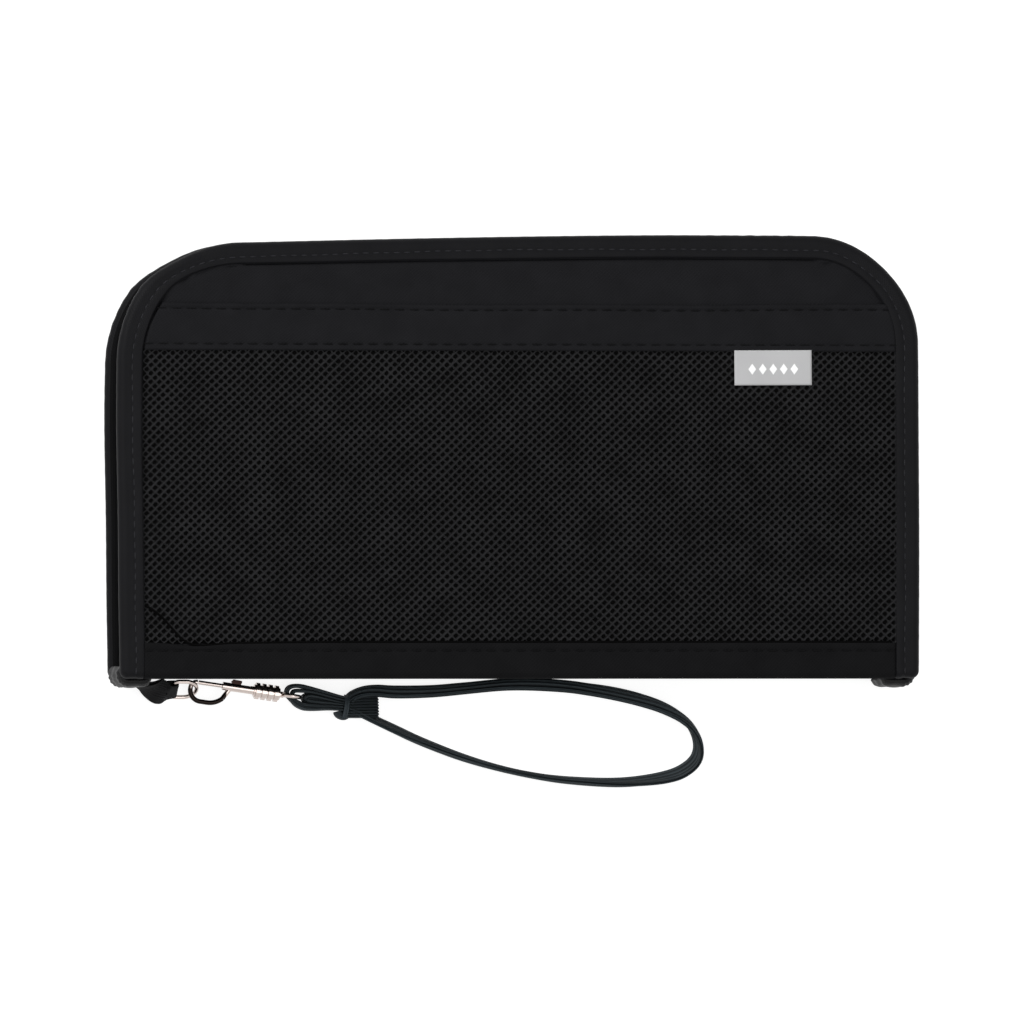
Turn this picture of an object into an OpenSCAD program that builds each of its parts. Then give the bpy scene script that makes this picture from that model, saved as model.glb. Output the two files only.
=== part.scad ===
// Travel document organizer: a zip-around folio that lies shut on its back cover.
// X runs along the spine, Y from the spine to the top edge, Z up through the thickness.
// The origin is the centre of the back cover's outer face.

/* [Case] */
// Width along the spine
case_w = 235; // [220:1:250]
// Height from the spine to the top edge
case_h = 128; // [120:1:140]
// Thickness of the shut case over the bindings
case_t = 24.6; // [24.2:0.1:29]
// Radius of the top left corner
corner_left_r = 37; // [32:1:42]
// Radius of the top right corner
corner_right_r = 31; // [27:1:36]

/* [Covers] */
// Thickness of a cover at its bound edge
cover_t = 4.6; // [4.3:0.1:4.8]
// Width of the binding on a cover's face
bind_w = 6.2; // [5.4:0.1:7.2]
// Thickness of one lip of the binding
lip_t = 0.6; // [0.4:0.05:0.7]
// Wall left in the binding's round outer edge
bind_wall = 1.6; // [1.3:0.1:2]
// Thickness of the woven shell
shell_t = 0.9; // [0.6:0.05:1]
// Thickness of the signal blocking foil
foil_t = 0.2; // [0.1:0.05:0.3]
// Thickness of the lining
lining_t = 0.8; // [0.5:0.05:0.9]
// Thickness of a front pocket's fabric where the binding holds it
pocket_tongue_t = 0.4; // [0.3:0.05:0.5]

/* [Spine] */
// Thickness of the spine's outer fabric
spine_shell_t = 0.8; // [0.5:0.1:0.9]
// Thickness of the spine's stiffening board
spine_board_t = 0.7; // [0.4:0.1:0.8]
// Thickness of the spine's lining
spine_lining_t = 0.5; // [0.3:0.1:0.6]
// Gap between a cover's round bottom edge and the spine
crease_gap = 0.3; // [0.2:0.05:0.6]

/* [Front pockets] */
// Height of the plain band along the bottom edge
bottom_band_h = 8.2; // [7:0.2:10]
// Height of the net
mesh_h = 84; // [76:1:88]
// Height of the plain band under the pocket's mouth
top_band_h = 13.8; // [10:0.2:16]
// How far the net lies below the bands
mesh_drop = 0.2; // [0.1:0.05:0.3]
// Width of the woven tag
tag_w = 22.8; // [18:0.2:28]
// Height of the woven tag
tag_h = 9.7; // [7:0.1:12]
// Thickness of the woven tag
tag_t = 0.6; // [0.4:0.05:0.8]
// Distance of the tag from the case's right side
tag_from_right = 32; // [24:0.5:60]

/* [Inner pockets] */
// Thickness of a slip pocket's fabric
slip_t = 1; // [0.6:0.1:1.2]
// Height of the full-width ticket pocket
ticket_h = 82; // [70:1:92]
// Width of the passport pocket
passport_w = 100; // [94:1:102]
// Height of the passport pocket
passport_h = 66; // [56:1:69]
// Thickness of one card pocket
card_t = 0.6; // [0.4:0.05:0.7]
// Step between one card pocket and the next
card_step = 10; // [8:0.5:14]
// Width of the folded hem at a pocket's mouth
hem_w = 7; // [5:0.5:9]
// Thickness that a hem adds
hem_t = 0.4; // [0.3:0.05:0.5]
// Bore of the elastic pen loop
pen_bore = 10; // [8.5:0.1:10.4]
// Wall of the pen loop
pen_wall = 0.7; // [0.5:0.05:0.9]
// Length of the pen loop
pen_len = 30; // [22:1:40]
// Height of the zipped coin pocket
coin_h = 86; // [80:1:92]
// Width of the zipped coin pocket
coin_w = 194; // [180:1:196]
// Height of the coin pocket's part above its zip
coin_top_h = 18; // [15:0.5:22]

/* [Zips] */
// Distance of the zip tape in from the case's edge
tape_in = 4.7; // [4.5:0.1:5]
// Thickness of the zip tape
tape_t = 0.6; // [0.4:0.05:0.7]
// Width of the tape's foot, sewn to the binding
foot_w = 4; // [3:0.1:4.4]
// Thickness of the tape's foot
foot_t = 0.5; // [0.3:0.05:0.6]
// Distance from one tooth to the next on the same tape
tooth_pitch = 2.4; // [2.3:0.05:3]
// Thickness of a tooth across the tape
tooth_t = 2.4; // [2:0.1:2.6]
// Height of a tooth between its tape and the middle of the chain
tooth_root = 1.6; // [1.4:0.05:1.8]
// How far a tooth reaches past the middle of the chain
tooth_reach = 1; // [0.7:0.05:1.2]
// Width of a tooth's head
tooth_head_w = 1; // [0.7:0.05:1.05]
// Length of a slider
slider_len = 9; // [8:0.2:10]
// Thickness of a slider's plate
plate_t = 0.8; // [0.6:0.05:0.85]
// Free height under a slider's bridge
bridge_gap = 1.1; // [1.05:0.05:1.2]
// Thickness of a slider's bridge
bridge_t = 0.8; // [0.6:0.05:0.9]
// Thickness of a pull
pull_t = 0.8; // [0.6:0.05:0.85]
// Length of the main pull
pull_len = 18; // [14:0.5:20]
// Length of the coin pocket's pull
coin_pull_len = 10; // [8:0.5:11]
// Width of a pull
pull_w = 6; // [5.6:0.1:7]

/* [Strap hardware] */
// How far the bound ends of the spine stand out from it
gusset_out = 2; // [1.6:0.1:2.2]
// Wire diameter of the D-ring
ring_wire = 1.2; // [1:0.05:1.3]
// Inside width of the D-ring
ring_in_w = 6; // [5.8:0.1:6.2]
// Lean of the D-ring from the table
ring_tilt = 52; // [49:1:55]
// Width of the sewn tab that holds the D-ring
tab_w = 5.5; // [5:0.1:5.6]
// Wire diameter of the hook
hook_wire = 1.4; // [1.2:0.05:1.5]
// Diameter of the hook's barrel
barrel_d = 2.4; // [2.3:0.05:2.6]
// Diameter of the sliding bolt that shuts the hook
bolt_d = 1.2; // [1.1:0.05:1.3]
// Diameter of the swivel collar's ribs
collar_d = 4.8; // [4.6:0.1:5]
// Diameter of the swivel's stem
stem_d = 1.8; // [1.6:0.05:1.9]
// Inside radius of the swivel eye
eye_in_r = 1.85; // [1.8:0.05:1.9]
// Wire diameter of the swivel eye
eye_wire = 1.3; // [1.1:0.05:1.4]
// Width of the strap's ribbon
ribbon_w = 5.5; // [5:0.1:5.8]
// Diameter of the thread that gathers the strap
cinch_d = 6.4; // [6:0.1:6.5]

/* [Hidden] */
$fn = 96;

// Clearance between pieces that are sewn or laid together
seam_gap = 0.15;
// Clearance between pieces that slide or turn past each other
run_gap = 0.25;
// How far a shell laps into its round bottom edge
shell_lap = 0.1;
// Radial clearance of a pin or stem in its hole
pin_gap = 0.05;

nose_r = cover_t / 2;
crease_y = nose_r - case_h / 2;
slot_h = cover_t - 2 * lip_t;
slot_in = bind_wall + seam_gap;
face_in = bind_w + seam_gap;
back_foam_t = slot_h - shell_t - foil_t - lining_t;
front_foam_t = back_foam_t - pocket_tongue_t;
inner_z = cover_t - lip_t;
mid_z = case_t / 2;
spine_low = cover_t + crease_gap;
spine_high = case_t - spine_low;
spine_cap_w = 4;
gusset_w = 12.3;

// Puts a piece drawn on the back cover onto the front cover
module on_front() {
    translate([0, 0, case_t])
        mirror([0, 0, 1])
            children();
}

// Flat outline of a cover, inset from its edge, with its two round top corners
module cover_outline(inset, bottom_y) {
    left_r = corner_left_r - inset;
    right_r = corner_right_r - inset;
    half_w = case_w / 2 - inset;
    top_y = case_h / 2 - inset;
    translate([-half_w, bottom_y])
        square([half_w, top_y - left_r - bottom_y]);
    translate([0, bottom_y])
        square([half_w, top_y - right_r - bottom_y]);
    translate([left_r - half_w, bottom_y])
        square([2 * half_w - left_r - right_r, top_y - bottom_y]);
    translate([left_r - half_w, top_y - left_r])
        circle(left_r);
    translate([half_w - right_r, top_y - right_r])
        circle(right_r);
}

// One flat layer of a cover
module cover_layer(inset, low, thickness, bottom_y = crease_y + seam_gap) {
    translate([0, 0, low])
        linear_extrude(thickness)
            cover_outline(inset, bottom_y);
}

// Carries a profile up the left side, over the top and down the right side.
// The profile's x is the distance in from the edge, its y the height.
module along_rim(bottom_y) {
    for (side = [0, 1]) {
        corner_r = side == 0 ? corner_left_r : corner_right_r;
        mirror([side, 0, 0])
            translate([-case_w / 2, case_h / 2 - corner_r, 0])
                rotate([90, 0, 0])
                    linear_extrude(case_h / 2 - corner_r - bottom_y)
                        children();
        mirror([side, 0, 0])
            translate([corner_r - case_w / 2, case_h / 2 - corner_r, 0])
                rotate([0, 0, 90])
                    rotate_extrude(angle = 90)
                        translate([corner_r, 0])
                            mirror([1, 0])
                                children();
    }
    translate([corner_left_r - case_w / 2, case_h / 2, 0])
        rotate([90, 0, 90])
            linear_extrude(case_w - corner_left_r - corner_right_r)
                mirror([1, 0])
                    children();
}

// Half-round bottom edge of a cover between two distances from the middle,
// lapped into the flat layers behind it
module nose(x_low, x_high, lap = 0) {
    difference() {
        translate([x_low, crease_y, nose_r])
            rotate([0, 90, 0])
                cylinder(h = x_high - x_low, r = nose_r);
        translate([x_low - 1, crease_y + lap, -1])
            cube([x_high - x_low + 2, cover_t, cover_t + 2]);
    }
}

// Folded binding round a cover: a U with a round outer edge, open inwards
module binding_profile() {
    difference() {
        union() {
            translate([nose_r, nose_r])
                circle(nose_r);
            translate([nose_r, 0])
                square([bind_w - nose_r, cover_t]);
        }
        translate([bind_wall, lip_t])
            square([bind_w, slot_h]);
    }
}

module cover_binding() {
    along_rim(crease_y)
        binding_profile();
    for (side = [0, 1])
        mirror([side, 0, 0]) {
            nose(nose_r - case_w / 2, bind_w - case_w / 2);
            difference() {
                translate([nose_r - case_w / 2, crease_y, nose_r])
                    sphere(nose_r);
                translate([-case_w, crease_y, -1])
                    cube([case_w, cover_t, cover_t + 2]);
                translate([nose_r - case_w / 2, crease_y - cover_t, -1])
                    cube([cover_t, 2 * cover_t, cover_t + 2]);
            }
        }
}

module back_shell() {
    color("#202022") {
        cover_layer(face_in, 0, lip_t + shell_t, crease_y);
        cover_layer(slot_in, lip_t, shell_t, crease_y);
        nose(face_in - case_w / 2, case_w / 2 - face_in, shell_lap);
    }
}

module back_foam() {
    color("#3a3a3c")
        cover_layer(slot_in, lip_t + shell_t, back_foam_t);
}

module back_foil() {
    color("#9a9ca0")
        cover_layer(slot_in, inner_z - lining_t - foil_t, foil_t);
}

module back_lining() {
    color("#2c2d30")
        cover_layer(slot_in, inner_z - lining_t, lining_t);
}

module back_binding() {
    color("#29292b")
        cover_binding();
}

// --- Spine ---

spine_half_w = case_w / 2 - spine_cap_w - seam_gap;

// One upright layer of the spine, at a depth from its outer face
module spine_layer(depth, thickness) {
    translate([-spine_half_w, depth - case_h / 2, spine_low])
        cube([2 * spine_half_w, thickness, spine_high - spine_low]);
}

module spine_shell() {
    color("#202022")
        spine_layer(0, spine_shell_t);
}

module spine_board() {
    color("#6b5a48")
        spine_layer(spine_shell_t, spine_board_t);
}

module spine_lining() {
    color("#2c2d30")
        spine_layer(spine_shell_t + spine_board_t, spine_lining_t);
}

// Bound ends of the spine: cloth folded round each bottom corner, standing proud of the spine
module spine_bindings() {
    corner_out = gusset_out + 1;
    side_in = 0.2;
    side_up = 3.6;
    color("#29292b")
        for (side = [0, 1])
            mirror([side, 0, 0])
                translate([-case_w / 2, -case_h / 2, spine_low])
                    linear_extrude(spine_high - spine_low) {
                        translate([side_in, corner_out - gusset_out])
                            square([spine_cap_w - side_in, side_up - corner_out + gusset_out]);
                        intersection() {
                            translate([side_in + corner_out, corner_out - gusset_out])
                                circle(corner_out);
                            translate([side_in, -gusset_out])
                                square([spine_cap_w - side_in, corner_out]);
                        }
                        polygon([
                            [side_in + corner_out, -gusset_out], [gusset_w - 1.8, -gusset_out],
                            [gusset_w, -gusset_out / 2], [gusset_w, -seam_gap],
                            [side_in + corner_out, -seam_gap]
                        ]);
                    }
}

// --- Zip round the case ---

tape_mid = tape_in + tape_t / 2;
tape_end_y = crease_y + crease_gap;
slider_half_gap = tooth_t / 2 + run_gap;
slider_side = tooth_root + run_gap;
slider_flange = 0.8;
slider_half_w = slider_side + slider_flange;
neck_len = 1.2;
chain_low_y = crease_y + 4.5;
stop_len = 1.4;
park_gap = 2.4;
slider_y = chain_low_y + slider_len / 2 + park_gap;
chain_right_y = slider_y - slider_len / 2 + neck_len + run_gap;
rim_left_r = corner_left_r - tape_mid;
rim_right_r = corner_right_r - tape_mid;
rim_1 = case_h / 2 - corner_left_r - chain_low_y;
rim_2 = rim_1 + rim_left_r * PI / 2;
rim_3 = rim_2 + case_w - corner_left_r - corner_right_r;
rim_4 = rim_3 + rim_right_r * PI / 2;
rim_5 = rim_4 + case_h / 2 - corner_right_r - chain_right_y;
teeth_count = floor(rim_5 / tooth_pitch) - 1;

// Place and heading on the tape's edge, at a distance along it from the left end
function rim_place(s) =
    s < rim_1 ? [tape_mid - case_w / 2, chain_low_y + s, 90]
    : s < rim_2 ? rim_corner(corner_left_r - case_w / 2, corner_left_r, rim_left_r,
                             180 - (s - rim_1) / rim_left_r * 180 / PI)
    : s < rim_3 ? [corner_left_r - case_w / 2 + s - rim_2, case_h / 2 - tape_mid, 0]
    : s < rim_4 ? rim_corner(case_w / 2 - corner_right_r, corner_right_r, rim_right_r,
                             90 - (s - rim_3) / rim_right_r * 180 / PI)
    : [case_w / 2 - tape_mid, case_h / 2 - corner_right_r - s + rim_4, -90];

function rim_corner(x, corner_r, r, a) =
    [x + r * cos(a), case_h / 2 - corner_r + r * sin(a), a - 90];

// Half of the zip tape: a foot on the binding and a wall up to the chain
module zip_tape() {
    along_rim(tape_end_y) {
        translate([tape_in, cover_t])
            square([tape_t, mid_z - tooth_root - cover_t]);
        translate([tape_in, cover_t])
            square([foot_w, foot_t]);
    }
}

// One tooth, standing on the tape's edge: a narrow root and a wider head
module tooth() {
    root_w = tooth_head_w * 0.7;
    tip_y = tooth_root + tooth_reach;
    rotate([90, 0, 0])
        translate([0, 0, -tooth_t / 2])
            linear_extrude(tooth_t)
                polygon([
                    [-root_w / 2, 0], [root_w / 2, 0],
                    [tooth_head_w / 2, tooth_root - tooth_reach / 2],
                    [tooth_head_w / 2 - 0.1, tip_y],
                    [0.1 - tooth_head_w / 2, tip_y],
                    [-tooth_head_w / 2, tooth_root - tooth_reach / 2]
                ]);
}

// A row of teeth, shifted along the tape by a part of the pitch
module rim_teeth(shift) {
    for (i = [0:teeth_count - 1]) {
        place = rim_place((i + shift) * tooth_pitch);
        translate([place[0], place[1], mid_z - tooth_root])
            rotate([0, 0, place[2]])
                tooth();
    }
}

// End stops clamped on the tape's edge below the chain
module zip_stops() {
    for (side = [-1, 1])
        translate([side * (case_w / 2 - tape_mid) - tooth_t / 2,
                   chain_low_y - run_gap - stop_len, mid_z - tooth_root])
            cube([tooth_t, stop_len, tooth_root - run_gap]);
}

module back_zip_tape() {
    color("#1c1c1e")
        zip_tape();
}

module back_zip_teeth() {
    color("#242426")
        rim_teeth(0.25);
}

module back_zip_stops() {
    color("#8c8c90")
        zip_stops();
}

module front_zip_tape() {
    color("#1c1c1e")
        on_front()
            zip_tape();
}

module front_zip_teeth() {
    color("#242426")
        on_front()
            rim_teeth(0.75);
}

module front_zip_stops() {
    color("#8c8c90")
        on_front()
            zip_stops();
}

// Slider in its own frame: X outwards, Y along the zip, Z across it
module slider_plate() {
    taper = 0.5;
    end_r = 1;
    linear_extrude(plate_t)
        difference() {
            translate([-slider_len / 2, -slider_half_w])
                square([slider_len, 2 * slider_half_w]);
            for (s = [-1, 1])
                translate([slider_len / 2, s * slider_half_w])
                    rotate([0, 0, 45])
                        square([end_r * 1.4, end_r * 1.4], center = true);
            for (s = [-1, 1])
                translate([-slider_len / 2, s * slider_half_w])
                    rotate([0, 0, 45])
                        square([taper * 1.4, taper * 1.4], center = true);
        }
}

module slider_flanges() {
    flange_low = tape_t / 2 + run_gap;
    for (s = [-1, 1])
        translate([flange_low, -slider_len / 2 + 1,
                   s > 0 ? slider_side : -slider_half_w])
            cube([slider_half_gap - flange_low + plate_t / 2, slider_len - 2, slider_flange]);
}

module slider_bridge() {
    reach = 2.9;
    leg = 0.9;
    width = 1.8;
    low = slider_half_gap + plate_t;
    translate([0, 0, -width / 2])
        linear_extrude(width)
            difference() {
                translate([low - plate_t / 2, -reach])
                    square([plate_t / 2 + bridge_gap + bridge_t, 2 * reach]);
                translate([low, leg - reach])
                    square([bridge_gap, 2 * (reach - leg)]);
                for (s = [-1, 1])
                    translate([low + bridge_gap + bridge_t, s * reach])
                        rotate([0, 0, 45])
                            square([leg, leg], center = true);
            }
}

module slider_body() {
    for (side = [0, 1])
        mirror([side, 0, 0]) {
            translate([slider_half_gap, 0, 0])
                rotate([90, 0, 90])
                    slider_plate();
            slider_flanges();
        }
    translate([-slider_half_gap - plate_t / 2, -slider_len / 2, -0.5])
        cube([2 * slider_half_gap + plate_t, neck_len, 1]);
    slider_bridge();
}

pull_x = slider_half_gap + plate_t + bridge_gap / 2;

// Pull in the slider's frame, lying along +Y, hung on a round bar under the bridge
module pull_body(len) {
    window_w = 2.6;
    window_len = 4.2;
    end_r = pull_w / 2;
    translate([pull_x, 0, -pull_w / 2])
        cylinder(h = pull_w, d = pull_t);
    translate([pull_x - pull_t / 2, 0, 0])
        rotate([90, 0, 90])
            linear_extrude(pull_t)
                difference() {
                    union() {
                        translate([0, -end_r])
                            square([len - end_r, pull_w]);
                        translate([len - end_r, 0])
                            circle(end_r);
                    }
                    translate([pull_t / 2, -window_w / 2])
                        square([window_len - pull_t / 2, window_w]);
                    translate([len - end_r, 0])
                        circle(end_r / 2);
                }
}

module at_slider() {
    translate([case_w / 2 - tape_mid, slider_y, mid_z])
        children();
}

module zip_slider() {
    color("#4a4a4d")
        at_slider()
            slider_body();
}

module zip_pull() {
    color("#4a4a4d")
        at_slider()
            pull_body(pull_len);
}

// --- Front cover ---

pocket_in_z = lip_t + pocket_tongue_t;
band_low_y = crease_y + 1.5;
mesh_low_y = band_low_y + bottom_band_h - 1.5;
mesh_high_y = mesh_low_y + mesh_h;
mouth_y = mesh_high_y + top_band_h;

module front_shell() {
    color("#202022")
        on_front() {
            cover_layer(slot_in, pocket_in_z, shell_t, crease_y);
            nose(face_in - case_w / 2, case_w / 2 - face_in, shell_lap);
        }
}

module front_foam() {
    color("#3a3a3c")
        on_front()
            cover_layer(slot_in, pocket_in_z + shell_t, front_foam_t);
}

module front_foil() {
    color("#9a9ca0")
        on_front()
            cover_layer(slot_in, inner_z - lining_t - foil_t, foil_t);
}

module front_lining() {
    color("#2c2d30")
        on_front()
            cover_layer(slot_in, inner_z - lining_t, lining_t);
}

module front_binding() {
    color("#29292b")
        on_front()
            cover_binding();
}

// A strip of the front pocket: its edges run under the binding's lip
module pocket_strip(y_low, y_high, drop) {
    on_front()
        intersection() {
            union() {
                cover_layer(slot_in, lip_t, pocket_tongue_t, crease_y);
                cover_layer(face_in, drop, pocket_in_z - drop, crease_y);
            }
            translate([-case_w, y_low, -1])
                cube([2 * case_w, y_high - y_low, cover_t]);
        }
}

module mesh_pocket() {
    color("#1a1a1b")
        pocket_strip(mesh_low_y, mesh_high_y, mesh_drop);
}

module pocket_top_band() {
    color("#202022")
        pocket_strip(mesh_high_y, mouth_y, 0);
}

module pocket_bottom_band() {
    color("#202022")
        pocket_strip(band_low_y, mesh_low_y, 0);
}

module tag() {
    color("#bcbcbc")
        translate([case_w / 2 - tag_from_right - tag_w, mesh_high_y - seam_gap - tag_h,
                   case_t - mesh_drop])
            cube([tag_w, tag_h, tag_t]);
}

// --- Pockets on the back cover's lining ---

inner_low_y = crease_y + 2;
pocket_left_x = tape_in + foot_w + 0.5 - case_w / 2;
pen_x = case_w / 2 - tape_in - foot_w - pen_bore / 2 - pen_wall - 2;
pocket_right_x = pen_x - pen_bore / 2 - pen_wall - 1.5;
pocket_gap = 8;
pen_gap = 1;

// A flat pocket with a thicker hem at its mouth
module slip_pocket(x_low, x_high, y_high, low, thickness) {
    translate([x_low, inner_low_y, low])
        cube([x_high - x_low, y_high - inner_low_y, thickness]);
    translate([x_low, y_high - hem_w, low + thickness / 2])
        cube([x_high - x_low, hem_w, thickness / 2 + hem_t]);
}

module ticket_pocket() {
    color("#26272a")
        slip_pocket(pocket_left_x, pocket_right_x, inner_low_y + ticket_h, inner_z, slip_t);
}

module passport_pocket() {
    color("#26272a")
        slip_pocket(pocket_left_x + 2, pocket_left_x + 2 + passport_w,
                    inner_low_y + passport_h, inner_z + slip_t, slip_t);
}

module card_pockets() {
    low_x = pocket_left_x + 2 + passport_w + pocket_gap;
    color("#26272a")
        for (i = [0:2])
            translate([low_x, inner_low_y, inner_z + slip_t + i * card_t])
                cube([pocket_right_x - 2 - low_x, passport_h - i * card_step, card_t]);
}

// Elastic loop, below the run of the coin pocket's slider
module pen_loop() {
    pen_r = pen_bore / 2 + pen_wall;
    pen_y = coin_zip_y - pull_w / 2 - pen_gap - pen_len / 2;
    color("#18181a")
        translate([pen_x, pen_y, inner_z + pen_r])
            rotate([90, 0, 0])
                difference() {
                    union() {
                        cylinder(h = pen_len, r = pen_r, center = true);
                        translate([-pen_r, -pen_r, -pen_len / 2])
                            cube([2 * pen_r, 2 * pen_wall, pen_len]);
                    }
                    cylinder(h = pen_len + 2, d = pen_bore, center = true);
                }
}

// --- Zipped coin pocket on the front cover's lining ---

coin_depth = inner_z + slider_half_gap + plate_t + run_gap + 0.1;
coin_panel_t = 0.6;
coin_wall = 1;
coin_left_x = pocket_left_x + 2;
coin_right_x = coin_left_x + coin_w;
coin_high_y = inner_low_y + coin_h;
coin_zip_y = coin_high_y - coin_top_h;
coin_slit = slider_half_w + 0.6;
coin_tape_w = 4.4;
coin_chain_low_x = coin_left_x + 6;
coin_chain_high_x = coin_right_x - 8;
coin_slider_x = coin_chain_high_x - slider_len / 2;
coin_count = floor((coin_slider_x + slider_len / 2 - neck_len - run_gap - coin_chain_low_x)
                   / tooth_pitch) - 1;

// A panel with a wall round its outer sides, from one height to another
module coin_panel(y_low, y_high, wall_low) {
    panel_low = coin_depth + tape_t / 2;
    on_front() {
        translate([coin_left_x, y_low, panel_low])
            cube([coin_w, y_high - y_low, coin_panel_t]);
        for (x = [coin_left_x, coin_right_x - coin_wall])
            translate([x, y_low, inner_z])
                cube([coin_wall, y_high - y_low, panel_low - inner_z]);
        translate([coin_left_x, wall_low ? y_low : y_high - coin_wall, inner_z])
            cube([coin_w, coin_wall, panel_low - inner_z]);
    }
}

module coin_pocket_lower() {
    color("#26272a")
        coin_panel(inner_low_y, coin_zip_y - coin_slit, true);
}

module coin_pocket_upper() {
    color("#26272a")
        coin_panel(coin_zip_y + coin_slit, coin_high_y, false);
}

module coin_zip_tape() {
    tape_low_x = coin_left_x + coin_wall + seam_gap;
    tape_len = coin_w - 2 * (coin_wall + seam_gap);
    color("#1c1c1e")
        on_front()
            for (s = [0, 1])
                translate([0, coin_zip_y, 0])
                    mirror([0, s, 0])
                        translate([tape_low_x, tooth_root, coin_depth - tape_t / 2])
                            cube([tape_len, coin_tape_w, tape_t]);
}

module coin_zip_teeth() {
    color("#242426")
        on_front()
            for (s = [0, 1], i = [0:coin_count - 1])
                translate([coin_chain_low_x + (i + 0.25 + s / 2) * tooth_pitch,
                           coin_zip_y, coin_depth])
                    mirror([0, s, 0])
                        translate([0, -tooth_root, 0])
                            rotate([-90, 0, 0])
                                tooth();
}

module at_coin_slider() {
    translate([coin_slider_x, coin_zip_y, case_t - coin_depth])
        rotate([0, 0, 180])
            rotate([90, 90, 0])
                children();
}

module coin_slider() {
    color("#4a4a4d")
        at_coin_slider()
            slider_body();
}

module coin_pull() {
    color("#4a4a4d")
        at_coin_slider()
            pull_body(coin_pull_len);
}

// --- D-ring and its tab ---

ring_r = ring_wire / 2;
ring_c = ring_in_w / 2 + ring_r;
ring_from_left = 19.4;
ring_x = ring_from_left - case_w / 2;
ring_below = 2.97;
ring_y = -case_h / 2 - ring_below;
ring_z = ring_c * sin(ring_tilt) + ring_r + 0.05;
ring_bend = 1.2;
ring_straight = 3.2;
tab_r = ring_r + 0.6;

// The ring's frame: Y runs along its bar, which leans back from the table
module on_ring() {
    translate([ring_x, ring_y, ring_z])
        rotate([ring_tilt, 0, 0])
            children();
}

// A straight run of wire between two points in the XY plane
module wire(from, to, r) {
    run = to - from;
    translate([from[0], from[1], 0])
        rotate([0, 0, atan2(run[1], run[0])])
            rotate([0, 90, 0])
                cylinder(h = norm(run), r = r, $fn = 32);
}

// A bend of wire in the XY plane
module wire_bend(centre, bend_r, start, turn, r) {
    translate([centre[0], centre[1], 0])
        rotate([0, 0, start])
            rotate_extrude(angle = turn)
                translate([bend_r, 0])
                    circle(r, $fn = 32);
}

module d_ring() {
    color("#d8d6d2")
        on_ring() {
            wire([0, ring_bend - ring_c], [0, ring_c - ring_bend], ring_r);
            wire_bend([ring_bend, ring_c - ring_bend], ring_bend, 90, 90, ring_r);
            wire_bend([ring_bend, ring_bend - ring_c], ring_bend, 180, 90, ring_r);
            wire([ring_bend, ring_c], [ring_straight, ring_c], ring_r);
            wire([ring_bend, -ring_c], [ring_straight, -ring_c], ring_r);
            wire_bend([ring_straight, 0], ring_c, -90, 180, ring_r);
        }
}

// Folded ribbon: a sleeve round the ring's bar, a strip and a pad sewn to the spine
module strap_tab() {
    sleeve_len = 2 * (ring_c - ring_bend) - 0.3;
    pad_len = 5;
    pad_h = 5.5;
    pad_t = 0.9;
    strip_t = 1.2;
    pad_from_ring = 6.6;
    pad_x = ring_x - pad_from_ring;
    pad_z = spine_low + 0.4;
    color("#2a2b2d") {
        on_ring()
            difference() {
                union() {
                    rotate([90, 0, 0])
                        cylinder(h = sleeve_len, r = tab_r, center = true);
                    translate([-2.2, -sleeve_len / 2, -strip_t / 2])
                        cube([2.2, sleeve_len, strip_t]);
                }
                rotate([90, 0, 0])
                    cylinder(h = ring_in_w, r = ring_r + pin_gap, center = true);
            }
        hull() {
            on_ring()
                translate([-2.4, -tab_w / 2, -strip_t / 2])
                    cube([0.4, tab_w, strip_t]);
            translate([pad_x + pad_len - 1, -case_h / 2 - pad_t, pad_z])
                cube([0.6, pad_t, pad_h]);
        }
        translate([pad_x, -case_h / 2 - pad_t, pad_z])
            cube([pad_len, pad_t, pad_h]);
    }
}

// --- Clasp ---

hook_r = hook_wire / 2;
bolt_r = bolt_d / 2;
barrel_r = barrel_d / 2;
clasp_yaw = -8.3;
clasp_x = ring_x + ring_straight + ring_c;
clasp_y = ring_y;
clasp_z = ring_z;
// Where the ring's wire lies in the clasp's frame
catch = [0.6, -2.1];
tip_r = 1.8;
tip_run = 0.3;
bow_r = 3.3;
bow_mid_x = catch[0] - tip_r + bow_r;
belly_x = 4.2;
belly_r = 6;
belly_turn = 45;
bow_to = [10.2, -0.6];
barrel_from = 8;
bolt_gap = 0.1;
bolt_from = catch[0] + 0.3;
nub_from = 10.3;
nub_len = 3.2;
bolt_travel = 2.8;
bore_to = 16.8;
collar_from = 17.2;
collar_to = 24.8;
cavity_from = 20.2;
cavity_to = 23.2;
eye_x = collar_to + eye_in_r + eye_wire + 0.35;

// The clasp's frame: X runs along its bolt, away from the ring
module on_clasp() {
    translate([clasp_x, clasp_y, clasp_z])
        rotate([0, 0, clasp_yaw])
            translate([-catch[0], -catch[1], 0])
                children();
}

// The hook's wire, from its tip round the ring and up to the barrel
module clasp_bow() {
    bow_mid_y = -tip_r - tip_run;
    bow_low = bow_mid_y - bow_r;
    belly_mid_y = bow_low + belly_r;
    belly_end = [belly_x + belly_r * sin(belly_turn), belly_mid_y - belly_r * cos(belly_turn)];
    wire_bend([catch[0], -tip_r], tip_r, 90, 90, hook_r);
    wire([catch[0] - tip_r, -tip_r], [catch[0] - tip_r, bow_mid_y], hook_r);
    wire_bend([bow_mid_x, bow_mid_y], bow_r, 180, 90, hook_r);
    wire([bow_mid_x, bow_low], [belly_x, bow_low], hook_r);
    wire_bend([belly_x, belly_mid_y], belly_r, -90, belly_turn, hook_r);
    wire(belly_end, bow_to, hook_r);
}

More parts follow.
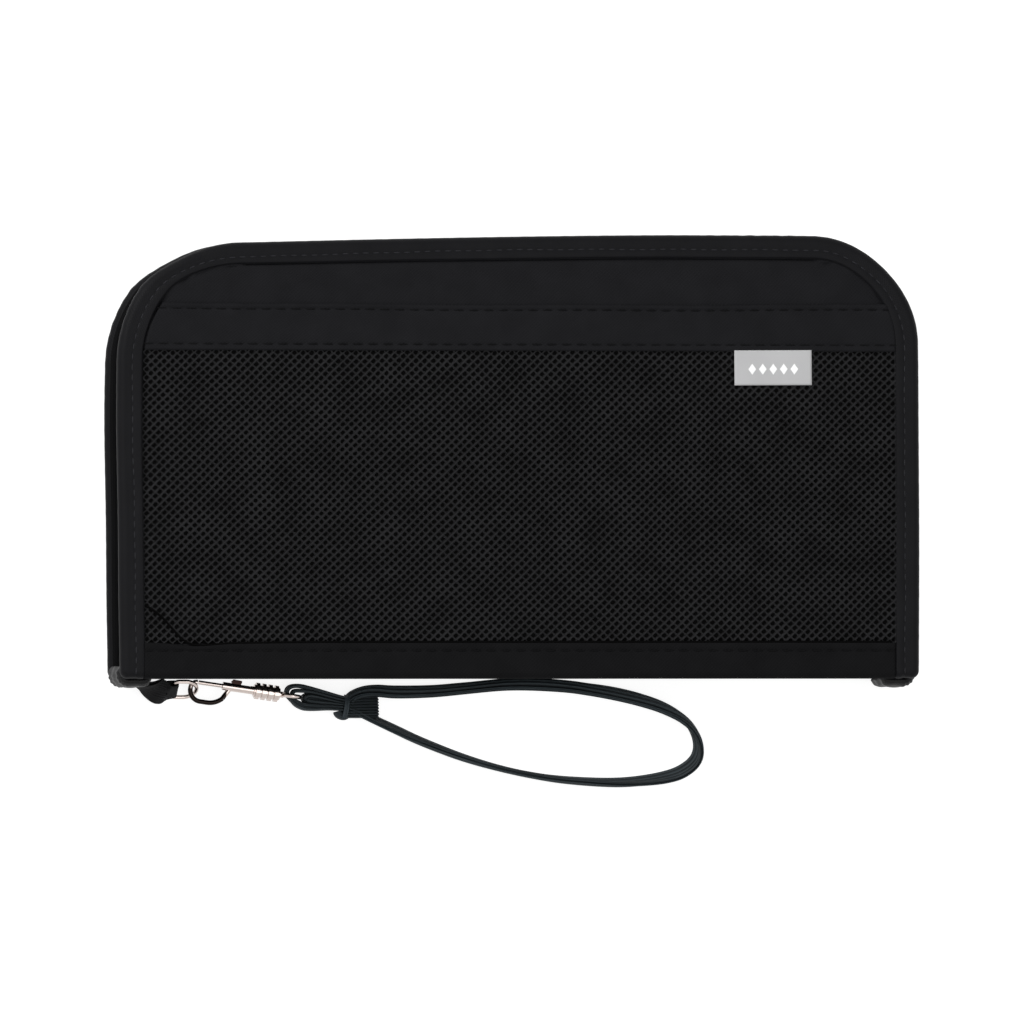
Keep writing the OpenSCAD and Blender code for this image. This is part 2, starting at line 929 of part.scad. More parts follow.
// Barrel and ribbed collar in one turned profile
module swivel_housing() {
    rib_r = collar_d / 2;
    groove_r = rib_r - 0.6;
    ribs = 4;
    rib = 1.1;
    groove = 0.75;
    first_rib = collar_from + 0.45;
    rotate([0, 90, 0])
        rotate_extrude()
            difference() {
                union() {
                    translate([0, barrel_from])
                        square([barrel_r, collar_from - barrel_from + 1]);
                    translate([0, collar_from])
                        square([groove_r, collar_to - collar_from]);
                    for (i = [0:ribs - 1])
                        translate([0, first_rib + i * (rib + groove)])
                            square([rib_r, rib]);
                }
                translate([0, cavity_from])
                    square([1.5, cavity_to - cavity_from]);
                translate([0, cavity_from])
                    square([stem_d / 2 + pin_gap, collar_to - cavity_from + 1]);
            }
}

// The bolt's bore, and the slot that its thumb nub slides in
module bolt_room() {
    slot_w = 1.2;
    rotate([0, 90, 0])
        translate([0, 0, barrel_from - 1])
            cylinder(h = bore_to - barrel_from + 1, r = bolt_r + bolt_gap);
    translate([nub_from, 0, -slot_w / 2])
        cube([nub_len + bolt_travel, barrel_d, slot_w]);
}

module clasp_hook() {
    color("#cfcac4")
        on_clasp()
            difference() {
                union() {
                    clasp_bow();
                    swivel_housing();
                }
                bolt_room();
            }
}

// Spring bolt with its thumb nub, which slides in the barrel's slot
module clasp_bolt() {
    color("#cfcac4")
        on_clasp() {
            wire([bolt_from, 0], [nub_from + nub_len, 0], bolt_r);
            translate([nub_from, 0, -0.5])
                linear_extrude(1)
                    polygon([
                        [0.2, 0.2], [nub_len - 0.2, 0.2], [nub_len - 0.2, 1.4], [nub_len, 1.5],
                        [nub_len - 0.1, 2.2], [0.7, 2.3], [0, 1.6], [0.2, 1.4]
                    ]);
        }
}

module swivel_eye() {
    head_r = 1.35;
    head_len = 1.6;
    eye_r = eye_in_r + eye_wire / 2;
    color("#cfcac4")
        on_clasp() {
            translate([cavity_to - 0.2 - head_len, 0, 0])
                rotate([0, 90, 0])
                    cylinder(h = head_len, r = head_r);
            translate([cavity_to - 0.4, 0, 0])
                rotate([0, 90, 0])
                    cylinder(h = eye_x - eye_r - cavity_to + 0.6, d = stem_d);
            translate([eye_x, 0, 0])
                rotate([90, 0, 0])
                    wire_bend([0, 0], eye_r, 0, 360, eye_wire / 2);
        }
}

// --- Wrist strap ---

far_wire_x = eye_x + eye_in_r + eye_wire / 2;
nose_out_r = 3.2;
head_h = ribbon_w;
head_len = 13.4;
cinch_x = far_wire_x + head_len;
cinch_len = 2;

// The strap's fold round the eye: a low round nose, then two full-width legs
module strap_head() {
    fold_h = 2 * (eye_in_r - 0.3);
    hole_r = eye_wire / 2 + 0.3;
    body_x = eye_x + eye_in_r + eye_wire + 0.3;
    head_end = cinch_x - cinch_len / 2;
    color("#232528")
        on_clasp()
            difference() {
                union() {
                    translate([0, 0, -fold_h / 2])
                        linear_extrude(fold_h) {
                            translate([far_wire_x, 0])
                                circle(nose_out_r, $fn = 48);
                            translate([far_wire_x, -nose_out_r])
                                square([body_x + 0.5 - far_wire_x, 2 * nose_out_r]);
                        }
                    translate([0, 0, -head_h / 2])
                        linear_extrude(head_h)
                            polygon([
                                [body_x, -nose_out_r], [body_x + 4, -nose_out_r],
                                [head_end, -2.4], [head_end, 2.4],
                                [body_x + 4, nose_out_r], [body_x, nose_out_r]
                            ]);
                }
                translate([far_wire_x - hole_r - 0.6, -hole_r, -head_h])
                    cube([body_x - far_wire_x + hole_r + 1, 2 * hole_r, 2 * head_h]);
                translate([body_x, -0.3, -head_h])
                    cube([6, 0.6, 2 * head_h]);
            }
}

// Thread wrapped round the gathered ribbon
module strap_cinch() {
    wraps = 3;
    wrap_len = cinch_len / wraps;
    color("#2e3033")
        on_clasp()
            translate([cinch_x - cinch_len / 2, 0, 0])
                rotate([0, 90, 0])
                    rotate_extrude()
                        union() {
                            square([cinch_d / 2 - 0.3, cinch_len]);
                            for (i = [0:wraps - 1])
                                translate([cinch_d / 2 - wrap_len / 2, (i + 0.5) * wrap_len])
                                    circle(wrap_len / 2 - 0.01, $fn = 24);
                        }
}

// Cut end of the ribbon, fanned out past the thread
module strap_tail() {
    tail_x = cinch_x + cinch_len / 2;
    tail_h = 4.4;
    color("#232528")
        on_clasp()
            translate([tail_x, 0, -tail_h / 2])
                linear_extrude(tail_h)
                    polygon([
                        [0, -0.15], [1.7, -0.25], [9.3, -1.6], [7.5, 3.7],
                        [4.2, 2.8], [1.9, 1.5], [0.8, 0.4], [0, -0.05]
                    ]);
}

// Route of the strap's loop, seen from above
strap_route = [
    [-46.9, -69.7], [-45.2, -68.4], [-42, -67.3], [-38.1, -67], [-32.8, -67.3], [-22.1, -67.2],
    [-11.5, -66.5], [-0.8, -65.6], [8.1, -65.4], [17.1, -65.8], [24.2, -66.7], [31.4, -67.9],
    [38.6, -69.5], [44.6, -71.4], [49.5, -73.8], [52.9, -76.4], [55.3, -79.4], [56.6, -82.4],
    [56.9, -85.3], [56, -88], [53.6, -90.4], [49.5, -92.4], [42.3, -93.7], [31.5, -94.2],
    [17.1, -93.3], [6.4, -91.7], [-4.3, -89.3], [-15, -86.1], [-25.7, -82], [-32.7, -78.8],
    [-39.8, -75.5], [-44.4, -73.4], [-47.1, -72.6]
];
strap_half_t = 1.1;
strap_mid_z = ribbon_w / 2 + 0.05;

function strap_heading(i) =
    let (a = strap_route[max(i - 1, 0)], b = strap_route[min(i + 1, len(strap_route) - 1)])
    (b - a) / norm(b - a);

// Section of the ribbon standing on its edge: half thickness, half height
strap_section = [
    for (q = [[1, 0.6], [0.5, 1], [-0.5, 1], [-1, 0.6], [-1, -0.6], [-0.5, -1], [0.5, -1], [1, -0.6]])
        [q[0] * strap_half_t, q[1] * ribbon_w / 2]
];

module wrist_strap() {
    sides = len(strap_section);
    rings = len(strap_route);
    points = [
        for (i = [0:rings - 1], q = strap_section)
            let (d = strap_heading(i))
            [strap_route[i][0] + d[1] * q[0], strap_route[i][1] - d[0] * q[0], strap_mid_z + q[1]]
    ];
    walls = [
        for (i = [0:rings - 2], k = [0:sides - 1])
            let (a = i * sides + k, b = i * sides + (k + 1) % sides)
            [a, b, b + sides, a + sides]
    ];
    first_end = [for (k = [0:sides - 1]) sides - 1 - k];
    last_end = [for (k = [0:sides - 1]) (rings - 1) * sides + k];
    color("#232528")
        polyhedron(points, concat([first_end], walls, [last_end]));
}

back_shell();
back_foam();
back_foil();
back_lining();
back_binding();
back_zip_tape();
back_zip_teeth();
back_zip_stops();
spine_shell();
spine_board();
spine_lining();
spine_bindings();
ticket_pocket();
passport_pocket();
card_pockets();
pen_loop();
strap_tab();
front_shell();
front_foam();
front_foil();
front_lining();
front_binding();
front_zip_tape();
front_zip_teeth();
front_zip_stops();
mesh_pocket();
pocket_top_band();
pocket_bottom_band();
tag();
coin_pocket_lower();
coin_pocket_upper();
coin_zip_tape();
coin_zip_teeth();
zip_slider();
zip_pull();
coin_slider();
coin_pull();
d_ring();
clasp_hook();
clasp_bolt();
swivel_eye();
strap_head();
strap_cinch();
strap_tail();
wrist_strap();
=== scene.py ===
from math import cos, exp, hypot, pi, radians, sin, sqrt, tan

import bmesh
import bpy
import numpy as np
from mathutils import Matrix, Vector


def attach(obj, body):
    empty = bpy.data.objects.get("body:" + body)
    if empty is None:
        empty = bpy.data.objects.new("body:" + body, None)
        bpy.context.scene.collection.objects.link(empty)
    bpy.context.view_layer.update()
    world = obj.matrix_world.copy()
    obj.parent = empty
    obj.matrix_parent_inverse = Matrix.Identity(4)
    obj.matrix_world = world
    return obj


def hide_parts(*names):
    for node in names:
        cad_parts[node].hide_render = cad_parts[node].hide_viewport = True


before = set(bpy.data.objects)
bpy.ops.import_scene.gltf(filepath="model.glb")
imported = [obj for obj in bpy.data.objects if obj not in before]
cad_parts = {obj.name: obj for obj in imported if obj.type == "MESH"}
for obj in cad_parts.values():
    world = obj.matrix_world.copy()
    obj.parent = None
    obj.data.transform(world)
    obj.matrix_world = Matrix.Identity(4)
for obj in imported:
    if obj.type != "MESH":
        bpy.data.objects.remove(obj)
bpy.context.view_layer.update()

MM = 0.001
# The body that each cover rides on
BODY_OF = {"front": "front_cover", "back": "root"}

# --- Sizes of the case, in millimetres, as its frame has them ---

CASE_W = 235.0
CASE_H = 128.0
CASE_T = 24.6
CORNER_LEFT = 37.0
CORNER_RIGHT = 31.0
COVER_T = 4.6
NOSE_R = COVER_T / 2
LIP_T = 0.6
BIND_W = 6.2
BIND_WALL = 1.6
CREASE_Y = NOSE_R - CASE_H / 2
INNER_Z = COVER_T - LIP_T
SPINE_LOW = 4.9
SPINE_HIGH = CASE_T - SPINE_LOW
SPINE_RISE = 14.8
SPINE_SIDE = 113.3

# The net's pitch across and up
CELL_W = 2.55
CELL_H = 2.43

# --- Camera ---

AIM = Vector((0.111, -15.852, 10.0)) * MM
LEAN_SIDE = radians(11.167)
LEAN_UP = radians(0.6)
CAMERA_ROLL = radians(-0.057)
CAMERA_AWAY = 6.0
FOCAL_PX = 20789.4
FRAME_PX = 1024
SENSOR_MM = 36.0


def placed(name, data):
    """A new object that holds the data, in the scene."""
    obj = bpy.data.objects.new(name, data)
    bpy.context.scene.collection.objects.link(obj)
    return obj


def make_camera():
    """A long lens far above, leaning a little to the left."""
    away = Vector((-tan(LEAN_SIDE), -tan(LEAN_UP), 1)).normalized()
    right = Vector((0, 1, 0)).cross(away).normalized()
    up = away.cross(right)
    turned_right = right * cos(CAMERA_ROLL) + up * sin(CAMERA_ROLL)
    turned_up = up * cos(CAMERA_ROLL) - right * sin(CAMERA_ROLL)
    data = bpy.data.cameras.new("camera")
    data.sensor_width = SENSOR_MM
    data.lens = SENSOR_MM * FOCAL_PX / FRAME_PX
    data.clip_end = 20
    camera = placed("camera", data)
    turn = Matrix((turned_right, turned_up, away)).transposed().to_4x4()
    camera.matrix_world = Matrix.Translation(AIM + away * CAMERA_AWAY) @ turn
    bpy.context.scene.camera = camera


make_camera()

# --- Making meshes ---


def mesh_object(name, verts, faces, uvs=None, smooth=True):
    """A mesh object from points in millimetres. uvs has one pair in millimetres for each face corner."""
    mesh = bpy.data.meshes.new(name)
    mesh.from_pydata((np.asarray(verts, float) * MM).tolist(), [], faces)
    if uvs is not None:
        layer = mesh.uv_layers.new(name="cloth")
        layer.data.foreach_set("uv", np.asarray(uvs, np.float32).ravel())
    work = bmesh.new()
    work.from_mesh(mesh)
    bmesh.ops.recalc_face_normals(work, faces=work.faces)
    work.to_mesh(mesh)
    work.free()
    mesh.polygons.foreach_set("use_smooth", [smooth] * len(mesh.polygons))
    return placed(name, mesh)


def loft(name, rings):
    """A closed skin over rings of points, each ring closed on itself, with its two ends filled."""
    rings = np.asarray(rings, float)
    count, sides = rings.shape[:2]
    steps = np.linalg.norm(np.diff(rings, axis=0), axis=2)
    along = [0.0, *np.cumsum(steps, axis=0).mean(axis=1)]
    first = np.concatenate([rings[0], rings[0][:1]])
    around = [0.0, *np.cumsum(np.linalg.norm(np.diff(first, axis=0), axis=1))]
    corners = [((i, j), (i, j + 1), (i + 1, j + 1), (i + 1, j))
               for i in range(count - 1) for j in range(sides)]
    corners += [[(0, j) for j in range(sides - 1, -1, -1)], [(count - 1, j) for j in range(sides)]]
    faces = [tuple(i * sides + j % sides for i, j in face) for face in corners]
    uvs = [(along[i], around[j]) for face in corners for i, j in face]
    return mesh_object(name, rings.reshape(-1, 3), faces, uvs)


def slab(name, columns, rows, side_x, top, under):
    """A closed piece of cloth on a grid. side_x(y) gives its two sides; top and under give heights."""
    nx, ny = len(columns), len(rows)
    plan = []
    for y in rows:
        low, high = side_x(y)
        plan += [(low + (high - low) * t, y) for t in columns]
    verts = [(x, y, height(x, y)) for height in (top, under) for x, y in plan]
    faces = []
    shift = len(plan)
    for j in range(ny - 1):
        for i in range(nx - 1):
            a = j * nx + i
            faces.append((a, a + 1, a + nx + 1, a + nx))
            faces.append((a + shift, a + nx + shift, a + nx + 1 + shift, a + 1 + shift))
    border = [(i, 0) for i in range(nx)] + [(nx - 1, j) for j in range(1, ny)]
    border += [(i, ny - 1) for i in range(nx - 2, -1, -1)] + [(0, j) for j in range(ny - 2, 0, -1)]
    for (i0, j0), (i1, j1) in zip(border, border[1:] + border[:1]):
        a, b = j0 * nx + i0, j1 * nx + i1
        faces.append((a, a + shift, b + shift, b))
    uvs = [verts[v][:2] for face in faces for v in face]
    return mesh_object(name, verts, faces, uvs)


def spaced(low, high, step, fine=()):
    """Places from low to high about a step apart, closer round each fine place."""
    count = max(2, int(round((high - low) / step)) + 1)
    places = set(round(v, 4) for v in np.linspace(low, high, count))
    for middle, reach, close in fine:
        for v in np.arange(middle - reach, middle + reach + close / 2, close):
            if low < v < high:
                places.add(round(float(v), 4))
    return sorted(places)


def dent(distance, width):
    """A smooth bump of height 1 at distance 0, about width to each side."""
    return exp(-((distance / width) ** 2))


def ripple(x, y, size=1.0):
    """Gentle unevenness of sewn cloth, in millimetres."""
    waves = sin(x / 13.1 + y / 29.0 + 1.3) + sin(y / 9.7 - x / 41.0 + 0.4)
    waves += 0.6 * sin(x / 5.3 - y / 7.9 + 2.1) + 0.5 * sin(x / 23.0 + y / 4.9)
    return 0.05 * size * waves


# How the soft case settles: the drop of its top edge, where the drop starts and over what distance it
# grows, and the two top corners that slump and ease
SAG = 2.55
SAG_FROM, SAG_OVER = (48, 47), (128, 14)
LEFT_CORNER, RIGHT_CORNER = (-104, 50), (107, 54)
SIDE_FROM, SIDE_OVER = 80, 37


def part_way(value):
    """The value, held between 0 and 1."""
    return min(1.0, max(0.0, value))


def hang(x, y):
    """How far the soft case sags below its level top edge, towards its left corner."""
    reach = part_way((SAG_FROM[0] - x) / SAG_OVER[0])
    near = part_way((y - SAG_FROM[1]) / SAG_OVER[1])
    return SAG * reach ** 1.5 * near * near * (3 - 2 * near)


def settle(x, y, back=False):
    """Where a point of the level case lies once the soft case has sagged, bulged and slumped."""
    left = part_way((-SIDE_FROM - x) / SIDE_OVER)
    right = part_way((x - SIDE_FROM) / SIDE_OVER)
    drop, width = (0.35, 24) if back else (-0.25, 20)
    slump = drop * dent(hypot(x - LEFT_CORNER[0], y - LEFT_CORNER[1]), width)
    eased = 0.75 * dent(hypot(x - RIGHT_CORNER[0], y - RIGHT_CORNER[1]), 17)
    bulge = 0.55 * dent(y - 12, 24) - 0.35 * dent(y + 62, 16)
    across = x - left * bulge + slump - eased + right * 0.2 * dent(y + 25, 30)
    return across, y - hang(x, y) - slump - eased


def moved(obj, place):
    """Moves a piece's points. place(x, y) gives where each one goes, in millimetres."""
    for v in obj.data.vertices:
        x, y = place(v.co.x / MM, v.co.y / MM)
        v.co.x, v.co.y = x * MM, y * MM
    return obj


def sagged(obj, back=False):
    """Moves a finished piece with the case's sag."""
    return moved(obj, lambda x, y: settle(x, y, back))


def joined(name, objects):
    """One piece made of several closed bodies."""
    whole = objects[0]
    with bpy.context.temp_override(active_object=whole, selected_editable_objects=objects):
        bpy.ops.object.join()
    whole.name = name
    return whole


# --- The round-cornered rim that both covers share ---


def height_in_case(h, front):
    """Height in the case of what lies h from a cover's outer face."""
    return CASE_T - h if front else h


def rim_ring(x, y, nx, ny, section, front):
    """A section (distance in, depth from the outer face) set at a place on the rim."""
    return [(x + nx * u, y + ny * u, height_in_case(h, front)) for u, h in section]


def rim_points(step, low_y=CREASE_Y):
    """Points along the cover's edge from bottom left, over the top, to bottom right.
    Each is (distance along, x, y, inward x, inward y)."""
    half_w, high_y = CASE_W / 2, CASE_H / 2
    left_x, right_x = CORNER_LEFT - half_w, half_w - CORNER_RIGHT
    runs = [
        (high_y - CORNER_LEFT - low_y, lambda d: (-half_w, low_y + d, 1, 0)),
        (CORNER_LEFT * pi / 2, lambda d: on_corner(left_x, CORNER_LEFT, pi - d / CORNER_LEFT)),
        (right_x - left_x, lambda d: (left_x + d, high_y, 0, -1)),
        (CORNER_RIGHT * pi / 2, lambda d: on_corner(right_x, CORNER_RIGHT, pi / 2 - d / CORNER_RIGHT)),
        (high_y - CORNER_RIGHT - low_y, lambda d: (half_w, high_y - CORNER_RIGHT - d, -1, 0)),
    ]
    points, start = [], 0.0
    for length, place in runs:
        count = max(1, int(round(length / step)))
        last = place is runs[-1][1]
        for i in range(count + (1 if last else 0)):
            d = length * i / count
            points.append((start + d, *place(d)))
        start += length
    return points


def on_corner(x, corner_r, angle):
    """A place on a top corner's arc, and the way in from it. x is the arc's centre."""
    c, s = cos(angle), sin(angle)
    return (x + corner_r * c, CASE_H / 2 - corner_r + corner_r * s, -c, -s)


def cover_side_x(inset):
    """The cover's left and right side at a height, at a distance in from its edge."""

    def sides(y):
        high = CASE_H / 2 - inset
        found = []
        for corner_r in (CORNER_LEFT, CORNER_RIGHT):
            r = corner_r - inset
            rise = max(0.0, y - (high - r))
            found.append(CASE_W / 2 - inset - r + sqrt(max(0.0, r * r - rise * rise)))
        return -found[0], found[1]

    return sides


# --- Materials ---

MATERIALS = {}


def colour(code):
    """An sRGB hex colour as linear RGBA."""
    channels = [int(code[i:i + 2], 16) / 255 for i in (0, 2, 4)]
    linear = [c / 12.92 if c <= 0.04045 else ((c + 0.055) / 1.055) ** 2.4 for c in channels]
    return (*linear, 1.0)


def add_node(tree, kind, links=(), **settings):
    """Adds a node. settings are its properties, or inputs by name; links are (input, output socket) pairs."""
    node = tree.nodes.new(kind)
    for name, value in settings.items():
        if hasattr(node, name):
            setattr(node, name, value)
        else:
            node.inputs[name.replace("_", " ")].default_value = value
    for target, source in links:
        tree.links.new(source, node.inputs[target])
    return node


def surface(name, code, roughness, specular=0.3, metallic=0.0, sheen=0.0):
    """A new material with its shader set, and its tree."""
    material = bpy.data.materials.new(name)
    material.use_nodes = True
    tree = material.node_tree
    shader = tree.nodes["Principled BSDF"]
    looks = {"Base Color": colour(code), "Roughness": roughness, "Specular IOR Level": specular,
             "Metallic": metallic, "Sheen Weight": sheen, "Sheen Roughness": 0.5,
             "Sheen Tint": colour("909090")}
    for label, value in looks.items():
        shader.inputs[label].default_value = value
    material.diffuse_color = colour(code)
    MATERIALS[name] = material
    return material, tree, shader


def pattern_place(tree, follow):
    """Coordinates in millimetres: the piece's own cloth map, or its place in the object."""
    if follow == "cloth":
        return add_node(tree, "ShaderNodeUVMap", uv_map="cloth").outputs["UV"]
    coords = add_node(tree, "ShaderNodeTexCoord")
    scaled = add_node(tree, "ShaderNodeVectorMath", [(0, coords.outputs["Object"])], operation="SCALE")
    scaled.inputs["Scale"].default_value = 1 / MM
    return scaled.outputs["Vector"]


def join(tree, operation, *values):
    """Math on values, each a socket or a number."""
    node = add_node(tree, "ShaderNodeMath", operation=operation)
    for i, value in enumerate(values):
        if isinstance(value, (int, float)):
            node.inputs[i].default_value = value
        else:
            tree.links.new(value, node.inputs[i])
    return node.outputs[0]


def with_share(tree, value, other, share):
    """A value with a share of another added to it."""
    return join(tree, "ADD", value, join(tree, "MULTIPLY", other, share))


def wave(tree, value, period):
    """A sine along one coordinate, from -1 to 1."""
    return join(tree, "SINE", join(tree, "MULTIPLY", value, 2 * pi / period))


def tinted(tree, shader, code, shade, amount, span=0.5):
    """Darkens and lightens the colour by a value that swings about 0; span is how far."""
    factor = join(tree, "MULTIPLY_ADD", shade, amount, 0.5)
    base = Vector(colour(code)[:3])
    mix = add_node(tree, "ShaderNodeMix", [(0, factor)], data_type="RGBA")
    mix.inputs[6].default_value = (*(base * (1 - span)), 1)
    mix.inputs[7].default_value = (*(base * (1 + span)), 1)
    tree.links.new(mix.outputs[2], shader.inputs["Base Color"])


def net_ridges(tree, place):
    """From 0 at the holes to 1 on the crests of the net's strands; one set's crests reach 0.6. It drives the
    yarn's bump and its tone: painted highlight on the crests, painted shade by the holes.
    """
    split = add_node(tree, "ShaderNodeSeparateXYZ", [(0, place)])
    u = join(tree, "MULTIPLY", split.outputs[0], 1 / CELL_W)
    v = join(tree, "MULTIPLY", split.outputs[1], 1 / CELL_H)
    crests = []
    for operation, over in (("ADD", 0.6), ("SUBTRACT", 1.0)):
        swing = wave(tree, join(tree, "ADD", join(tree, operation, u, v), -0.25), 1.0)
        height = join(tree, "MULTIPLY_ADD", swing, 0.5, 0.5)
        crests.append(join(tree, "MULTIPLY", join(tree, "POWER", height, 5.0), over))
    return join(tree, "MAXIMUM", *crests)


def bumped(tree, shader, height, depth_mm):
    """Raises the surface by a value, to a depth in millimetres."""
    bump = add_node(tree, "ShaderNodeBump", [("Height", height)], Strength=1.0)
    bump.inputs["Distance"].default_value = depth_mm * MM
    tree.links.new(bump.outputs["Normal"], shader.inputs["Normal"])


# The thick ribs of the corded ribbon, whose stripes are partly weave and partly painted highlight and shade,
# and how often a cloth's tone wanders
CORD_MM = 1.45
BLOTCHES_PER_MM = 0.11


def woven(name, code, follow="cloth", thread_mm=0.55, depth_mm=0.05, shade=0.16, mottle=0.3,
          kind="plain", span=0.5, **looks):
    """Woven cloth: threads over and under each other, a little uneven in tone. shade is how much the
    threads show in the tone, mottle how much it wanders, span how far it goes, depth_mm the relief."""
    _, tree, shader = surface(name, code, **looks)
    place = pattern_place(tree, follow)
    split = add_node(tree, "ShaderNodeSeparateXYZ", [(0, place)])
    x, y = split.outputs[0], split.outputs[1]
    if follow != "cloth":
        y = join(tree, "ADD", y, split.outputs[2])
    if kind == "plain":
        weave = join(tree, "MULTIPLY", wave(tree, x, 2 * thread_mm), wave(tree, y, 2 * thread_mm))
    elif kind == "net":
        # The net's tone: crests painted lighter and the yarn by the holes darker, painted highlight and
        # painted shade
        crest = net_ridges(tree, place)
        weave = join(tree, "ADD", join(tree, "MULTIPLY", crest, 2.0), -0.8)
    elif kind == "corded":
        # The cord's stripes: partly the ribbon's ribbed weave, partly painted highlight on the ribs' crests
        # and painted shade in their grooves
        weave = with_share(tree, wave(tree, y, CORD_MM), wave(tree, y, thread_mm), 0.3)
        weave = with_share(tree, weave, wave(tree, x, thread_mm), 0.2)
    elif kind == "ribbed":
        weave = with_share(tree, wave(tree, y, thread_mm), wave(tree, x, thread_mm), 0.4)
    else:
        slant = join(tree, "ADD", x, y)
        weave = with_share(tree, wave(tree, slant, 2 * thread_mm), wave(tree, x, thread_mm), 0.35)
    noise = add_node(tree, "ShaderNodeTexNoise", [("Vector", place)], Scale=BLOTCHES_PER_MM, Detail=5.0)
    uneven = join(tree, "SUBTRACT", noise.outputs[0], 0.5)
    tone = with_share(tree, join(tree, "MULTIPLY", weave, shade), uneven, mottle * 2)
    tinted(tree, shader, code, tone, 1.0, span)
    bumped(tree, shader, weave, depth_mm)


def metal(name, code, roughness, fine_mm=0.6):
    """Plated or painted metal with faint uneven polish."""
    material, tree, shader = surface(name, code, roughness, specular=0.5, metallic=1.0)
    place = pattern_place(tree, "object")
    noise = add_node(tree, "ShaderNodeTexNoise", [("Vector", place)], Scale=1 / fine_mm, Detail=3.0)
    spread = add_node(tree, "ShaderNodeMapRange", [(0, noise.outputs[0])])
    spread.inputs[3].default_value = roughness * 0.7
    spread.inputs[4].default_value = roughness * 1.5
    tree.links.new(spread.outputs[0], shader.inputs["Roughness"])
    tinted(tree, shader, code, join(tree, "SUBTRACT", noise.outputs[0], 0.5), 0.25)
    return material


# The clasp's frame: where its bolt's axis starts, the way it runs, and its side
CLASP_AT = np.array([-91.5906, -64.8054, 3.4868])
CLASP_ALONG = np.array([0.989526, -0.144356, 0.0])
CLASP_SIDE = np.array([0.144356, 0.989526, 0.0])


def nickel_with_painted_reflection(name, code, dark, roughness, side_from, side_to, along_limit):
    """Nickel with a painted dark reflection, nearly black, on the part past a line in the clasp's frame: it
    sets in from side_from to side_to, and ends along_limit millimetres along."""
    material = metal(name, code, roughness)
    tree = material.node_tree
    shader = tree.nodes["Principled BSDF"]
    place = pattern_place(tree, "object")
    place = add_node(tree, "ShaderNodeVectorMath", [(0, place)], operation="SUBTRACT")
    place.inputs[1].default_value = tuple(CLASP_AT)
    along, side = (add_node(tree, "ShaderNodeVectorMath", [(0, place.outputs[0])], operation="DOT_PRODUCT")
                   for _ in range(2))
    along.inputs[1].default_value = tuple(CLASP_ALONG)
    side.inputs[1].default_value = tuple(CLASP_SIDE)
    past = add_node(tree, "ShaderNodeMapRange", [(0, side.outputs["Value"])])
    past.inputs[1].default_value = side_from
    past.inputs[2].default_value = side_to
    before_limit = join(tree, "LESS_THAN", along.outputs["Value"], along_limit)
    mask = join(tree, "MULTIPLY", past.outputs[0], before_limit)
    before = shader.inputs["Base Color"].links[0].from_socket
    mix = add_node(tree, "ShaderNodeMix", [(0, mask)], data_type="RGBA")
    tree.links.new(before, mix.inputs[6])
    mix.inputs[7].default_value = colour(dark)
    tree.links.new(mix.outputs[2], shader.inputs["Base Color"])


# Plain-woven polyester, PU coated on the back: flat near-black with a faint fine grain
woven("shell_polyester", "171719", roughness=0.8, specular=0.06, sheen=0.01, shade=0.08)
# The same cloth turned under and pressed, in a darker tone below the pocket
woven("band_polyester", "131314", roughness=0.85, specular=0.035, sheen=0.004, shade=0.08)
# The same cloth folded as bias binding: smoother and a touch lighter, with a soft shine on its roll
woven("binding_polyester", "101012", thread_mm=0.45, depth_mm=0.03, shade=0.1, mottle=0.3,
      roughness=0.5, specular=0.065, sheen=0.004)
# The binding's seam thread: a thicker nylon that catches a little light
woven("seam_thread", "1e1e22", follow="object", thread_mm=0.2, depth_mm=0.02, kind="twill",
      roughness=0.4, specular=0.18)
# Knitted spacer mesh, polyester: soft round yarns, with painted highlight on their crests and painted shade
# by the holes
woven("mesh_knit_yarn", "1b1b1c", depth_mm=0.16, shade=0.5, mottle=0.6, span=0.8,
      roughness=0.55, specular=0.05, sheen=0.0, kind="net")
# Black backing layer of the mesh, matte, seen only through its holes; kept near-black partly as its own
# colour and partly as painted shade deep in the holes. It also colours the net's painted shadow line
woven("mesh_backing", "070707", thread_mm=0.5, roughness=0.95, specular=0.02)
# Polyester taffeta lining: close plain weave with a slight silky sheen
woven("lining_taffeta", "2a2b2e", thread_mm=0.4, depth_mm=0.03, roughness=0.5, specular=0.3, sheen=0.08)
# Pocket cloth, the same taffeta doubled
woven("pocket_taffeta", "242528", thread_mm=0.4, depth_mm=0.03, roughness=0.52, specular=0.28, sheen=0.08)
# Herringbone-woven zip tape
woven("zip_tape_twill", "0d0d0e", follow="object", thread_mm=0.5, depth_mm=0.05, kind="twill",
      roughness=0.8, specular=0.06)
# Bonded nylon sewing thread: round and slightly shiny, black
woven("nylon_thread", "0a0a0b", follow="object", thread_mm=0.2, depth_mm=0.02, kind="twill",
      roughness=0.6, specular=0.06)
# Flat polyester strap ribbon: fine ribs along its length, faintly bluish; its strong light and dark stripes
# are partly weave, partly painted highlight on the ribs and painted shade in their grooves
woven("strap_ribbon", "2c3235", thread_mm=0.36, depth_mm=0.08, kind="corded", shade=0.42, span=0.75,
      roughness=0.5, specular=0.12, sheen=0.01)
# The same ribbon pleated into a bundle, coloured lighter than strap_ribbon as a painted highlight: its ribs'
# crests stand in the light
woven("gathered_ribbon", "31373a", thread_mm=0.36, depth_mm=0.08, kind="ribbed", shade=0.2,
      roughness=0.5, specular=0.14, sheen=0.01)
# Thread wound round the gathered ribbon: same bluish grey, tight and a little shiny
woven("cinch_thread", "363d41", follow="object", thread_mm=0.2, depth_mm=0.02, kind="twill",
      roughness=0.5, specular=0.15)
# Heavier grosgrain ribbon of the D-ring's tab: black with close cross ribs
woven("tab_ribbon", "151516", thread_mm=0.5, depth_mm=0.06, kind="ribbed", shade=0.25,
      roughness=0.65, specular=0.12)
